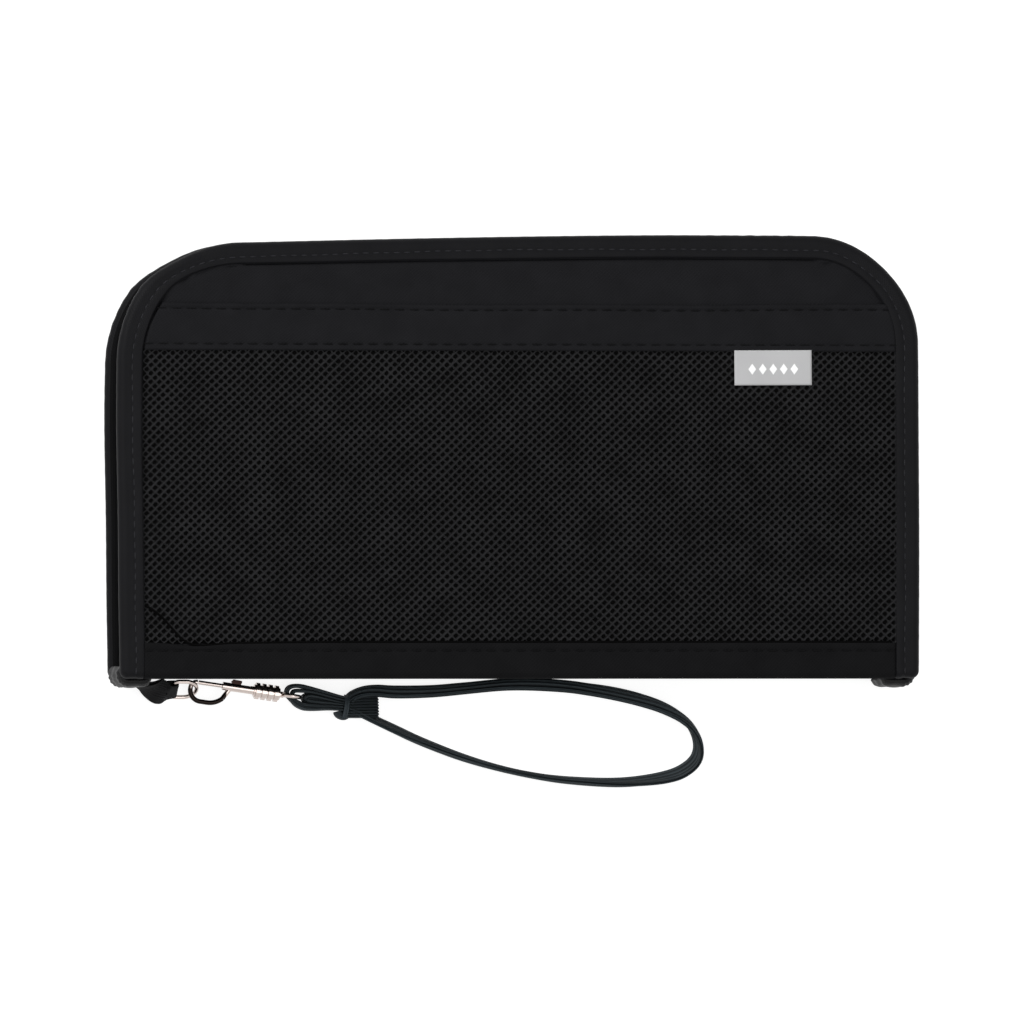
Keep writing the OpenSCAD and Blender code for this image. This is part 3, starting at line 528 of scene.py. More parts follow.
# Lining-weight polyester of the corner gussets: greyer, catches the light on its folds
woven("gusset_polyester", "101011", thread_mm=0.45, depth_mm=0.04, shade=0.12, mottle=0.3,
      roughness=0.45, specular=0.14, sheen=0.01)
# Elastic tape of the pen loop: cross ribs
woven("ribbed_elastic", "18181a", follow="object", thread_mm=0.7, depth_mm=0.1, kind="ribbed",
      roughness=0.75, specular=0.2)
# Damask-woven polyester label: pale grey satin ground
woven("label_satin", "afafb0", thread_mm=0.28, depth_mm=0.02, shade=0.04, mottle=0.05,
      roughness=0.6, specular=0.3)
# The label's woven pattern in white weft
woven("label_white_weft", "f4f4f4", thread_mm=0.3, depth_mm=0.04, shade=0.04, mottle=0.03,
      roughness=0.6, specular=0.3)
# Nickel-plated zinc casting and wire: bright, a little warm
metal("nickel_plate", "c4b8b2", 0.16)
# Hook: nickel, with a painted dark reflection, nearly black, on the lower side of its bow
nickel_with_painted_reflection("nickel_hook", "c4b8b2", "1d1816", 0.16, -1.0, -2.2, 9.4)
# Bolt: nickel wire with a thumb nub; its side towards the case and the nub carry a painted dark reflection of
# the black case
nickel_with_painted_reflection("nickel_bolt", "c4b8b2", "241a18", 0.2, 0.75, 0.95, 20.0)
# Zip slider and pull in black-nickel plated zinc
metal("black_nickel", "5a5a5e", 0.3)
# Moulded acetal zip teeth: black with a waxy shine
woven("acetal_teeth", "1e1e20", follow="object", thread_mm=0.9, depth_mm=0.01, shade=0.05,
      roughness=0.35, specular=0.5)
# Closed-cell polyethylene foam: grey, full of fine bubbles
woven("foam_polyethylene", "4a4a4c", follow="object", thread_mm=0.8, depth_mm=0.1,
      roughness=0.9, specular=0.1)
# Aluminium foil film that blocks radio signals
metal("foil_aluminium", "c9ccd0", 0.28, fine_mm=4.0)
# Grey pressed board that stiffens the spine
woven("board_grey", "77706a", follow="object", thread_mm=1.4, depth_mm=0.05, roughness=0.92, specular=0.1)


def dress(obj, material, body, node=None):
    """Gives a piece its material, the body that it rides on and the node it replaces."""
    obj.data.materials.clear()
    obj.data.materials.append(MATERIALS[material])
    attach(obj, body)
    if node:
        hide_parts(node)
    return obj


# --- Ribbon and tube along a path ---


def smooth_path(points, parts):
    """Catmull-Rom points through the given ones."""
    pts = np.asarray(points, float)
    pts = np.vstack([2 * pts[0] - pts[1], pts, 2 * pts[-1] - pts[-2]])
    found = []
    for i in range(1, len(pts) - 2):
        p0, p1, p2, p3 = pts[i - 1:i + 3]
        for t in np.arange(parts) / parts:
            found.append(0.5 * (2 * p1 + (p2 - p0) * t + (2 * p0 - 5 * p1 + 4 * p2 - p3) * t ** 2
                                + (3 * p1 - p0 - 3 * p2 + p3) * t ** 3))
    found.append(pts[-2])
    return np.array(found)


def path_turns(path):
    """The way that a path runs at each of its points."""
    run = np.gradient(path, axis=0)
    return run / np.linalg.norm(run, axis=1, keepdims=True)


def ribbon_rings(path, across, width, thick, curl, ribs=5, rib_depth=0.1, slit=0.0):
    """Sections of a ribbed ribbon. across is the width's direction; curl bends it hollow; slit is how
    deep the gap between its two plies runs down from the upper edge. across, width, thick and curl
    hold a value for each point of the path, or one for all of it."""
    run = path_turns(path)
    across = np.broadcast_to(across, np.shape(path))
    width, thick, curl = (np.broadcast_to(value, len(path)) for value in (width, thick, curl))
    rings = []
    steps = 6 * ribs
    for i, p in enumerate(path):
        wide = across[i] - run[i] * np.dot(across[i], run[i])
        wide /= np.linalg.norm(wide)
        face = np.cross(run[i], wide)
        half, t, c = width[i] / 2, thick[i] / 2, curl[i]
        ring = []
        for side in (1, -1):
            for k in range(steps + 1):
                v = side * (1 - 2 * k / steps)
                edge = sqrt(max(0.0, 1 - abs(v) ** 6))
                rib = rib_depth * (0.5 + 0.5 * cos(pi * v * ribs))
                off = side * (t - rib_depth + rib) * edge + c * (v * v - 0.4)
                ring.append(p + wide * v * half + face * off)
        if slit:
            rims = [(1.0, -0.85), (1.0, -0.6), (0.94, -0.42), (1 - slit, -0.3),
                    (1 - slit, 0.3), (0.94, 0.42), (1.0, 0.6), (1.0, 0.85)]
            ring = ring[1:-1] + [p + wide * v * half + face * (o * t + c * (v * v - 0.4)) for v, o in rims]
        rings.append(ring)
    return rings


def tube_rings(path, radius, sides=10):
    """Round sections along a path."""
    run = path_turns(path)
    rings = []
    turn = Vector((0, 0, 1))
    for i, p in enumerate(path):
        d = Vector(run[i])
        turn = (turn - d * turn.dot(d)).normalized()
        other = d.cross(turn)
        rings.append([p + np.array(turn * cos(a) + other * sin(a)) * radius
                      for a in np.arange(sides) * 2 * pi / sides])
    return rings


# --- The wrist strap's free loop: a limp flat ribbon, laid on its edge ---

UP = np.array((0.0, 0.0, 1.0))
RIBBON_W = 5.5
STRAP_THICK = 1.5
STRAP_MID_Z = 2.8
# How high above the floor the middle line would lie if the ribbon had no width
STRAP_LIES_AT = 0.55
# The middle line from the thread, along the near leg, round the far turn and back to the thread
STRAP_ROUTE = [
    (-46.9, -69.7), (-45.2, -68.4), (-42, -67.3), (-38.1, -67), (-32.8, -67.3), (-22.1, -67.2),
    (-11.5, -66.5), (-0.8, -65.6), (8.1, -65.4), (17.1, -65.8), (24.2, -66.7), (31.4, -67.9),
    (38.6, -69.5), (44.6, -71.4), (49.5, -73.8), (52.9, -76.4), (55.3, -79.4), (56.6, -82.4),
    (56.9, -85.3), (56, -88), (53.6, -90.4), (49.5, -92.4), (42.3, -93.7), (31.5, -94.2),
    (17.1, -93.3), (6.4, -91.7), (-4.3, -89.3), (-15, -86.1), (-25.7, -82), (-32.7, -78.8),
    (-39.8, -75.5), (-44.4, -73.4), (-47.1, -72.6),
]
# How far the ribbon leans from its edge onto its face at points of its way round, in degrees:
# its upper edge into the loop above 0, out of it below 0
STRAP_LEAN = [
    (0, 12), (0.05, 30), (0.13, 32), (0.2, 26), (0.3, 30), (0.37, 42), (0.41, 34), (0.44, 20), (0.46, 8),
    (0.48, -2), (0.495, -12), (0.51, -26), (0.53, -38), (0.56, -36), (0.59, -30), (0.62, -18), (0.7, -9),
    (0.8, -9), (0.88, -16), (0.94, -26), (1, -14),
]


def along_table(table, t):
    """The value at t from a table of (place, value)."""
    places, values = zip(*table)
    return np.interp(t, places, values)


def make_wrist_strap():
    """The loop, the middle of its path and its length."""
    path = smooth_path([(x, y, STRAP_MID_Z) for x, y in STRAP_ROUTE], 8)
    # The near leg bows in a little at its middle
    path[:, 1] += [0.35 * dent(x + 2, 16) * (y > -70) for x, y, z in path]
    away = np.concatenate([[0], np.cumsum(np.linalg.norm(np.diff(path, axis=0), axis=1))])
    t = away / away[-1]
    lean = np.radians(along_table(STRAP_LEAN, t))
    # Pulled in a little at the far turn, where the ribbon lies on its face
    path[:, 0] -= [0.45 * dent(place - 0.53, 0.06) for place in t]
    path[:, 1] += [0.5 * dent(place - 0.55, 0.06) for place in t]
    # The lean changes gently from place to place
    lean = np.convolve(np.pad(lean, 8, mode="edge"), np.ones(17) / 17, mode="valid")
    # The hollow side faces into the loop
    middle = np.array([0.0, -80.0, STRAP_MID_Z])
    run = path_turns(path)
    across = []
    for i, p in enumerate(path):
        side = np.cross(run[i], UP)
        if np.dot(side, middle - p) < 0:
            side = -side
        across.append(UP * cos(lean[i]) + side * sin(lean[i]))
    curl = 0.75 + 0.25 * np.sin(t * 31)
    path[:, 2] = RIBBON_W / 2 * np.cos(lean) + STRAP_LIES_AT
    rings = ribbon_rings(path, across, RIBBON_W - 0.3, STRAP_THICK, curl, ribs=4, rib_depth=0.26, slit=0.5)
    strap = dress(loft("wrist_strap_loop", rings), "strap_ribbon", "clasp", "wrist_strap")
    return strap, path * MM, float(away[-1]) * MM


strap_loop, strap_path, strap_length = make_wrist_strap()

# --- Stitches, laid along lines by Geometry Nodes ---

STITCH_LINES = {}


def stitch(body, points, pitch, length, width, thread="nylon_thread"):
    """Notes a line of stitching on a body, in millimetres."""
    STITCH_LINES.setdefault((body, pitch, length, width, thread), []).append(points)


def geometry_tree(name, **inputs):
    """A new geometry tree and its input sockets. inputs gives each one's kind; _ stands for a space."""
    tree = bpy.data.node_groups.new(name, "GeometryNodeTree")
    for label, kind in inputs.items():
        tree.interface.new_socket(label.replace("_", " "), in_out="INPUT", socket_type=f"NodeSocket{kind}")
    tree.interface.new_socket("Made", in_out="OUTPUT", socket_type="NodeSocketGeometry")
    return tree, add_node(tree, "NodeGroupInput").outputs


def end_tree(tree, made, material):
    """Gives what a geometry tree made a smooth face and its material, and puts it out."""
    smooth = add_node(tree, "GeometryNodeSetShadeSmooth", [(0, made)])
    coloured = add_node(tree, "GeometryNodeSetMaterial", [(0, smooth.outputs[0]), ("Material", material)])
    add_node(tree, "NodeGroupOutput", [(0, coloured.outputs[0])])
    return tree


def stitch_tree():
    """Resamples each line at the pitch and lays one flattened bead of thread at each place."""
    tree, given = geometry_tree("stitch_line", Lines="Geometry", Pitch="Float", Length="Float",
                                Width="Float", Thread="Material")
    curve = add_node(tree, "GeometryNodeMeshToCurve", [("Mesh", given["Lines"])])
    even = add_node(tree, "GeometryNodeResampleCurve",
                    [("Curve", curve.outputs[0]), ("Length", given["Pitch"])], mode="LENGTH")
    bead = add_node(tree, "GeometryNodeMeshUVSphere", Segments=8, Rings=6, Radius=0.5)
    size = add_node(tree, "ShaderNodeCombineXYZ",
                    [("X", given["Length"]), ("Y", given["Width"]), ("Z", given["Width"])])
    heading = add_node(tree, "FunctionNodeAlignEulerToVector",
                       [("Vector", add_node(tree, "GeometryNodeInputTangent").outputs[0])], axis="X")
    beads = add_node(tree, "GeometryNodeInstanceOnPoints",
                     [("Points", even.outputs[0]), ("Instance", bead.outputs[0]),
                      ("Rotation", heading.outputs[0]), ("Scale", size.outputs[0])])
    real = add_node(tree, "GeometryNodeRealizeInstances", [(0, beads.outputs[0])])
    return end_tree(tree, real.outputs[0], given["Thread"])


def repeated(name, mesh, tree, **given):
    """A piece that a geometry tree makes, as a plain mesh. given holds the tree's inputs by name."""
    obj = placed(name, mesh)
    modifier = obj.modifiers.new("repeats", "NODES")
    modifier.node_group = tree
    for socket in tree.interface.items_tree:
        value = given.get(socket.name.replace(" ", "_"))
        if value is not None:
            modifier[socket.identifier] = value
    bpy.context.view_layer.update()
    made = obj.evaluated_get(bpy.context.evaluated_depsgraph_get())
    mesh = bpy.data.meshes.new_from_object(made)
    obj.modifiers.clear()
    obj.data = mesh
    return obj


def make_stitches():
    """Sews every line noted so far: one piece for each body."""
    tree = stitch_tree()
    parts = {}
    for number, ((body, pitch, length, width, thread), lines) in enumerate(STITCH_LINES.items()):
        verts, edges = [], []
        for line in lines:
            start = len(verts)
            verts += [tuple(c * MM for c in p) for p in line]
            edges += [(i, i + 1) for i in range(start, len(verts) - 1)]
        mesh = bpy.data.meshes.new("stitch_lines")
        mesh.from_pydata(verts, edges, [])
        part = repeated(f"stitch_part_{number}", mesh, tree, Pitch=pitch * MM, Length=length * MM,
                        Width=width * MM, Thread=MATERIALS[thread])
        parts.setdefault(body, []).append(part)
    for body, objects in parts.items():
        whole = joined(f"{body}_stitching", objects)
        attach(whole, body)


# --- Bindings round the covers ---

STITCH_PITCH = 3.0
# How far the cloth's outer face lies inside the case's faces
SKIN = 0.14
# Distance of the binding's stitch line from its outer edge, along the rim from left to right
BINDING_STITCH = [(0, 4.5), (0.25, 4.3), (0.5, 3.95), (0.75, 4.4), (1, 4.7)]
# How wide the binding's outer fold lies, along the same way: it covers more of the sides than of the top
LIP_SIDE, LIP_TOP = 7.4, 6.8
BINDING_LIP = [(0, LIP_SIDE), (0.22, 7.3), (0.3, LIP_TOP), (0.7, LIP_TOP), (0.78, LIP_SIDE), (1, 7.5)]


def thread_pull(place, pitch):
    """From 0 to 1, how hard a row of stitches draws the cloth in at a place along it."""
    return 0.5 + 0.5 * cos(2 * pi * place / pitch)


def binding_section(stitch_in, lip, dip, swell, wrinkle):
    """The folded binding's section: (distance in, depth from the outer face)."""
    points = []
    for u in np.linspace(lip, NOSE_R, 23):
        crown = -0.1 * swell * dent(u - (stitch_in + lip) / 2, 0.9) - 0.08 * swell * dent(u - 1.9, 0.8)
        edge = 0.85 * dent(u - lip, 0.3)
        sewn = dip * dent(u - stitch_in, 0.38)
        points.append((u, SKIN + crown + edge + sewn + wrinkle * dent(u - 2.6, 1.6)))
    for a in np.linspace(pi / 2, -pi / 2, 15)[1:-1]:
        r = NOSE_R - 0.04 - wrinkle * cos(a)
        points.append((NOSE_R - r * cos(a), NOSE_R - r * sin(a)))
    for u in np.linspace(NOSE_R, BIND_W, 10):
        points.append((u, COVER_T - 0.1 - 0.25 * dent(u - BIND_W, 0.25) - dip * dent(u - stitch_in, 0.42)))
    return points + [(BIND_W, INNER_Z + 0.02), (BIND_WALL, INNER_Z), (BIND_WALL, LIP_T + 0.1),
                     (lip, LIP_T + 0.05)]


def make_binding(cover):
    """Bias binding folded over a cover's edge and sewn down, with its cut ends rolled under."""
    front = cover == "front"
    rim = rim_points(0.55)
    total = rim[-1][0]
    rings, line = [], []
    for s, x, y, nx, ny in rim:
        t = s / total
        stitch_in = along_table(BINDING_STITCH, t) + 0.08 * sin(s / 3.7) + 0.1 * sin(s / 19.0)
        pull = thread_pull(s, STITCH_PITCH)
        dip = 0.06 + 0.12 * (1 - pull)
        swell = 1 + 0.5 * sin(s / 17.0) + 0.35 * sin(s / 6.1 + 1) + 0.3 * pull
        # Cloth eased round a corner gathers into small cross wrinkles
        turning = dent(s - 108, 17) + 0.7 * dent(s - 297, 15)
        wrinkle = (0.012 + 0.035 * turning) * (sin(s / 0.62) + 0.8 * sin(s / 0.97 + 2))
        lip = along_table(BINDING_LIP, t) + 0.05 * sin(s / 11.0)
        section = binding_section(stitch_in, lip, dip, swell, wrinkle)
        rings.append(rim_ring(x, y, nx, ny, section, front))
        line += rim_ring(x, y, nx, ny, [(stitch_in, SKIN + 0.1)], front)
    rings = [*bottom_turn(rings[0], front)[::-1], *rings, *bottom_turn(rings[-1], front)]
    binding = sagged(loft(f"{cover}_binding_cloth", rings), not front)
    dress(binding, "binding_polyester", BODY_OF[cover], f"{cover}_binding")
    line = [(*settle(x, y, not front), z) for x, y, z in line]
    stitch(BODY_OF[cover], line, STITCH_PITCH, 1.9, 0.36, "seam_thread")


def bottom_turn(ring, front):
    """Sections that roll the binding's cut end round the cover's bottom edge."""
    middle = CASE_T - NOSE_R if front else NOSE_R
    turned = []
    for degrees in (12, 25, 38, 50, 62, 73, 82, 88.5):
        a = radians(degrees)
        turned.append([(x, y - abs(z - middle) * sin(a), middle + (z - middle) * cos(a)) for x, y, z in ring])
    return turned


make_binding("front")
make_binding("back")

# --- Cover panels ---


# How far apart the points of cloth lie: on the front, and where it is hidden or plain
FINE_STEP = 2.2
PLAIN_STEP = 3


def unit_places(step_mm):
    """Places from 0 to 1 across the case, about a step apart."""
    return list(np.linspace(0, 1, int(CASE_W / step_mm) + 1))


def make_front_panel():
    """Plain cloth of the front cover, padded, behind the pocket."""
    inset = BIND_WALL + 0.3
    face = CASE_T - 1.0
    edge_in = cover_side_x(LIP_SIDE)
    rows = spaced(CREASE_Y, CASE_H / 2 - inset, FINE_STEP, [(46, 3, 0.7), (57.8, 1.5, 0.4)])

    def top(x, y):
        low, high = edge_in(y)
        rim = min(x - low, high - x, CASE_H / 2 - LIP_TOP - y)
        return face + 0.25 - 1.0 * dent(rim + 0.1, 0.6) + ripple(x, y, 0.8)

    obj = slab("front_panel_cloth", unit_places(FINE_STEP), rows, cover_side_x(inset), top,
               lambda x, y: face - 0.95)
    dress(sagged(obj), "shell_polyester", "front_cover", "front_shell")


ROLL_T = 0.9


def bottom_roll(face, middle):
    """Section of cloth that wraps a cover's round bottom edge: (y, z) outside, then back inside.
    face is 1 for the front cover and -1 for the back one."""

    def arc(r):
        return [(CREASE_Y - r * sin(a), middle + face * r * cos(a)) for a in np.linspace(0, pi, 15)]

    return arc(NOSE_R), arc(NOSE_R - ROLL_T)[::-1]


def make_back_panel():
    """Plain cloth of the back cover, with its round bottom edge."""
    inset = BIND_W - 0.1
    rows = spaced(CREASE_Y + 0.05, CASE_H / 2 - inset, PLAIN_STEP)
    under = slab("back_panel_cloth", unit_places(PLAIN_STEP), rows, cover_side_x(inset),
                 lambda x, y: 1.4, lambda x, y: 0.22 + 0.4 * abs(ripple(x, y)))
    dress(sagged(under, True), "shell_polyester", "root", "back_shell")
    outside, inside = bottom_roll(-1, NOSE_R)
    side = CASE_W / 2 - BIND_W
    section = outside + inside
    rings = [[(x, y, z) for y, z in section] for x in np.linspace(-side, side, 60)]
    dress(loft("back_bottom_roll", rings), "shell_polyester", "root")


# The pocket's net from bottom to top, its mouth, and the stitch lines of its two bands
MESH_LOW_Y = -53.5
MESH_HIGH_Y = 30.5
MOUTH_Y = 44.3
HEM_STITCH_Y = 42.6
BAND_STITCH_Y = 32.3
BOTTOM_STITCH_Y = -55.9
HEM_PITCH = 4.3
# The height of the pocket's threads, and the under side of its bottom band
THREAD_Z = CASE_T - 0.2
BAND_UNDER = CASE_T - 1.0


def band_dip(x):
    """The lower band's top edge is drawn down beside its left end."""
    return -0.95 * dent(x + 95.5, 7.5) - 0.25 * dent(x + 82, 14)


def make_bottom_band():
    """Band below the mesh, carried on round the front cover's bottom edge."""
    side = CASE_W / 2 - LIP_SIDE + 0.1
    middle = CASE_T - NOSE_R
    rings = []
    for x in np.linspace(-side, side, 280):
        pull = thread_pull(x, HEM_PITCH)
        section = [(MESH_LOW_Y + 0.1, BAND_UNDER), (MESH_LOW_Y - 0.05, CASE_T - 0.45)]
        for y in np.linspace(MESH_LOW_Y - 0.2, CREASE_Y, 22):
            lift = 0.12 * dent(y - (MESH_LOW_Y - 0.9), 0.9)
            sewn = (0.14 + 0.14 * pull) * dent(y - BOTTOM_STITCH_Y, 0.45)
            section.append((y, CASE_T - SKIN + lift - sewn + ripple(x, y, 0.6) * 0.5))
        dip = band_dip(x)
        section = [(y + dip * (y - BOTTOM_STITCH_Y) / (MESH_LOW_Y - BOTTOM_STITCH_Y)
                    if y > BOTTOM_STITCH_Y else y, z) for y, z in section]
        outside, inside = bottom_roll(1, middle)
        section += outside[1:] + inside[:-1] + [(CREASE_Y, BAND_UNDER)]
        rings.append([(x, y, z) for y, z in section])
    dress(loft("pocket_bottom_band_cloth", rings), "band_polyester", "front_cover",
          "pocket_bottom_band")
    line = [(x, BOTTOM_STITCH_Y, THREAD_Z) for x in np.arange(-side + 1, side - 1, 1.0)]
    stitch("front_cover", line, HEM_PITCH, 3.1, 0.36)


def mouth_sag(x, y):
    """The pocket's mouth hangs slightly between its sewn ends, and draws the band below it along."""
    t = x / (CASE_W / 2)
    hung = -0.55 * (1 - t * t) + 0.1 * sin(x / 11.0)
    return hung * (y - MESH_HIGH_Y) / (MOUTH_Y - MESH_HIGH_Y)


def make_top_band():
    """Hemmed band at the pocket's mouth."""
    sides = cover_side_x(LIP_SIDE - 0.15)
    ys = [MESH_HIGH_Y - 0.15, MESH_HIGH_Y, MESH_HIGH_Y + 0.15]
    ys += list(np.linspace(MESH_HIGH_Y + 0.4, MOUTH_Y - 0.3, 40)) + [MOUTH_Y - 0.12, MOUTH_Y]
    rings = []
    for t in np.linspace(0, 1, 300):
        ring = []
        for y in ys:
            x = sides(y)[0] + (sides(y)[1] - sides(y)[0]) * t
            pull = thread_pull(x, HEM_PITCH)
            sewn = (0.12 + 0.16 * pull) * (dent(y - HEM_STITCH_Y, 0.45) + dent(y - BAND_STITCH_Y, 0.45))
            hem = 0.22 * dent(y - (MOUTH_Y - 0.7), 0.8) + 0.12 * dent(y - (MESH_HIGH_Y + 0.7), 0.7)
            drop = 0.5 * (dent(y - MOUTH_Y, 0.18) + dent(y - (MESH_HIGH_Y - 0.15), 0.18))
            ring.append((x, y + mouth_sag(x, y), CASE_T - 0.12 + hem - sewn - drop + ripple(x, y, 0.7) * 0.6))
        back = [(x, y, CASE_T - 0.92) for x, y, z in ring[::-1]]
        rings.append(ring + back)
    dress(loft("pocket_top_band_cloth", rings), "shell_polyester", "front_cover",
          "pocket_top_band")
    for y0 in (HEM_STITCH_Y, BAND_STITCH_Y):
        low, high = sides(y0)
        line = [(x, y0 + mouth_sag(x, y0), THREAD_Z) for x in np.arange(low + 0.6, high - 0.4, 1.0)]
        stitch("front_cover", line, HEM_PITCH, 3.1, 0.4)


# --- Mesh pocket: a knitted net, one small diamond cell laid many times by Geometry Nodes ---

# A hole's long and short way across, and how far the long one turns from level
HOLE_LONG = 1.46
HOLE_SHORT = 1.14
HOLE_SLANT = 0.7
YARN_T = 0.42
# How far each point of the net is off its place, across, up and in height
NET_UNEVEN = (0.05, 0.05, 0.03)
NET_SEED = 11


def net_cell():
    """One diamond of net round one hole, with the yarn's rounded top, in millimetres."""
    outer, inner = [], []
    for k in range(8):
        a = k * pi / 4
        reach, high = (0.5, 1.0) if k % 2 == 0 else (sqrt(0.125), 0.8)
        outer.append((CELL_W * reach * cos(a), CELL_H * reach * sin(a), YARN_T * high))
        long, short = HOLE_LONG / 2 * cos(a - HOLE_SLANT), HOLE_SHORT / 2 * sin(a - HOLE_SLANT)
        inner.append((long * cos(HOLE_SLANT) - short * sin(HOLE_SLANT),
                      long * sin(HOLE_SLANT) + short * cos(HOLE_SLANT), YARN_T * 0.25))
    verts = outer + inner + [(x, y, 0) for x, y, z in inner] + [(x, y, 0) for x, y, z in outer]
    faces = []
    for k in range(8):
        n = (k + 1) % 8
        faces += [(k, n, 8 + n, 8 + k), (8 + k, 8 + n, 16 + n, 16 + k), (16 + k, 16 + n, 24 + n, 24 + k)]
    return mesh_object("net_cell", verts, faces)


def net_tree():
    """Lays the cell on two grids of points, one set half a cell over, and joins the cells."""
    tree, given = geometry_tree("knitted_net", Base="Geometry", Cell="Object", Columns="Int", Rows="Int",
                                Cell_Width="Float", Cell_Height="Float", Yarn="Material")
    cell = add_node(tree, "GeometryNodeObjectInfo", [("Object", given["Cell"])])
    sets = []
    for fewer in (0, 1):
        columns = join(tree, "SUBTRACT", given["Columns"], fewer)
        rows = join(tree, "SUBTRACT", given["Rows"], fewer)
        width = join(tree, "MULTIPLY", given["Cell Width"], join(tree, "SUBTRACT", columns, 1))
        height = join(tree, "MULTIPLY", given["Cell Height"], join(tree, "SUBTRACT", rows, 1))
        grid = add_node(tree, "GeometryNodeMeshGrid", [("Vertices X", columns), ("Vertices Y", rows),
                                                       ("Size X", width), ("Size Y", height)])
        sets.append(add_node(tree, "GeometryNodeInstanceOnPoints",
                             [("Points", grid.outputs[0]), ("Instance", cell.outputs["Geometry"])]))
    both = add_node(tree, "GeometryNodeJoinGeometry")
    for one in sets:
        tree.links.new(one.outputs[0], both.inputs[0])
    real = add_node(tree, "GeometryNodeRealizeInstances", [(0, both.outputs[0])])
    merged = add_node(tree, "GeometryNodeMergeByDistance", [(0, real.outputs[0])], Distance=0.02 * MM)
    return end_tree(tree, merged.outputs[0], given["Yarn"])


# The tuck across the net's bottom left corner
FOLD_FROM = (-107.5, -44.5)
FOLD_TO = (-98.5, -53.5)


def net_height(x, y):
    """The net's face: slightly full, with a tuck across its bottom left corner."""
    dx, dy = FOLD_TO[0] - FOLD_FROM[0], FOLD_TO[1] - FOLD_FROM[1]
    off = ((x - FOLD_FROM[0]) * dy - (y - FOLD_FROM[1]) * dx) / hypot(dx, dy)
    near = x < -95 and y < -41
    tuck = -0.25 * dent(off - 1.5, 1.1) if near else 0.0
    return CASE_T - 0.66 + ripple(x, y, 1.1) - tuck


def drop_first_column(obj, column_x, rows):
    """Takes away the column of cells that the other half of the net already has."""
    work = bmesh.new()
    work.from_mesh(obj.data)
    first_y = -(rows - 1) / 2 * CELL_H
    spare = []
    for face in work.faces:
        middle = face.calc_center_median() / MM
        row = (middle.y - first_y) / CELL_H
        off = abs(middle.x - column_x) / CELL_W + abs(row - round(row))
        if off < 0.5:
            spare.append(face)
    bmesh.ops.delete(work, geom=spare, context="FACES")
    work.to_mesh(obj.data)
    work.free()


def make_net():
    """The pocket's net in two halves, slightly uneven, and the dark cloth behind it, near-black partly as
    painted shade in the holes.
    """
    cell = net_cell()
    tree = net_tree()
    side = CASE_W / 2 - BIND_W + 0.3
    columns = int(2 * side / CELL_W) + 1
    rows = int((MESH_HIGH_Y - MESH_LOW_Y + 1.0) / CELL_H) + 1
    half = (columns - 1) // 2
    middle_y = (MESH_HIGH_Y + MESH_LOW_Y) / 2
    for name, count, shift in (("left", half, -half / 2), ("right", columns - half, (columns - half) / 2)):
        obj = repeated(f"mesh_pocket_net_{name}", bpy.data.meshes.new("net_base"), tree, Cell=cell,
                       Columns=count + 1, Rows=rows, Cell_Width=CELL_W * MM, Cell_Height=CELL_H * MM,
                       Yarn=MATERIALS["mesh_knit_yarn"])
        if name == "right":
            drop_first_column(obj, -shift * CELL_W, rows)
        co = np.zeros(len(obj.data.vertices) * 3)
        obj.data.vertices.foreach_get("co", co)
        co = co.reshape(-1, 3) / MM
        co[:, 0] += shift * CELL_W
        co[:, 1] += middle_y
        x, y = co[:, 0].copy(), co[:, 1].copy()
        co[:, 0] += 0.16 * np.sin(y / 6.7 + x / 37) + 0.12 * np.sin(x / 5.3 - y / 11)
        co[:, 1] += 0.16 * np.sin(x / 8.1 - y / 29) + 0.1 * np.sin(x / 2.9 + y / 13)
        co += np.random.default_rng(NET_SEED).normal(0, NET_UNEVEN, co.shape)
        co[:, 0] = np.clip(co[:, 0], -side, side)
        co[:, 1] = np.clip(co[:, 1], MESH_LOW_Y - 0.5, MESH_HIGH_Y + 0.5)
        co[:, 2] += [net_height(x, y) for x, y in co[:, :2]]
        obj.data.vertices.foreach_set("co", (co * MM).ravel())
        layer = obj.data.uv_layers.new(name="cloth")
        corners = np.zeros(len(obj.data.loops), int)
        obj.data.loops.foreach_get("vertex_index", corners)
        level = np.stack([x, y - middle_y + (rows - 1) / 2 * CELL_H], axis=1)
        layer.data.foreach_set("uv", level[corners].astype(np.float32).ravel())
        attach(obj, "front_cover")
    bpy.data.objects.remove(cell)
    rows_y = spaced(MESH_LOW_Y - 0.4, MESH_HIGH_Y + 0.4, PLAIN_STEP)
    backing = slab("mesh_pocket_backing", unit_places(PLAIN_STEP), rows_y, lambda y: (-side, side),
                   lambda x, y: net_height(x, y) - 0.03, lambda x, y: CASE_T - 0.98)
    dress(backing, "mesh_backing", "front_cover", "mesh_pocket")


def make_net_shadow_line():
    """A near-black tube laid on the net as a painted shadow line: across its bottom left corner, where the
    net folds, and along the lower band, where the net tucks under it.
    """
    corner = smooth_path([(-109.9, -43.0, 0), (-107.5, -44.4, 0), (-104.6, -46.8, 0), (-101.8, -49.9, 0),
                          (-99.4, -52.4, 0), (-96.6, -54.0, 0), (-93.4, -54.4, 0)], 8)
    along = [(x, MESH_LOW_Y + band_dip(x) + 0.1, 0) for x in np.arange(-92, 109.6, 1.5)]
    path = np.array([(x, y, net_height(x, y) + 0.36) for x, y, z in [*corner, *along]])
    dress(loft("mesh_pocket_tuck", tube_rings(path, 0.33, 8)), "mesh_backing", "front_cover")


make_front_panel()
make_back_panel()
make_bottom_band()
make_top_band()
make_net()
make_net_shadow_line()

# --- Label ---

TAG_MIN = (62.7, 20.65)
TAG_MAX = (85.5, 30.75)
TAG_TURN = radians(0.35)


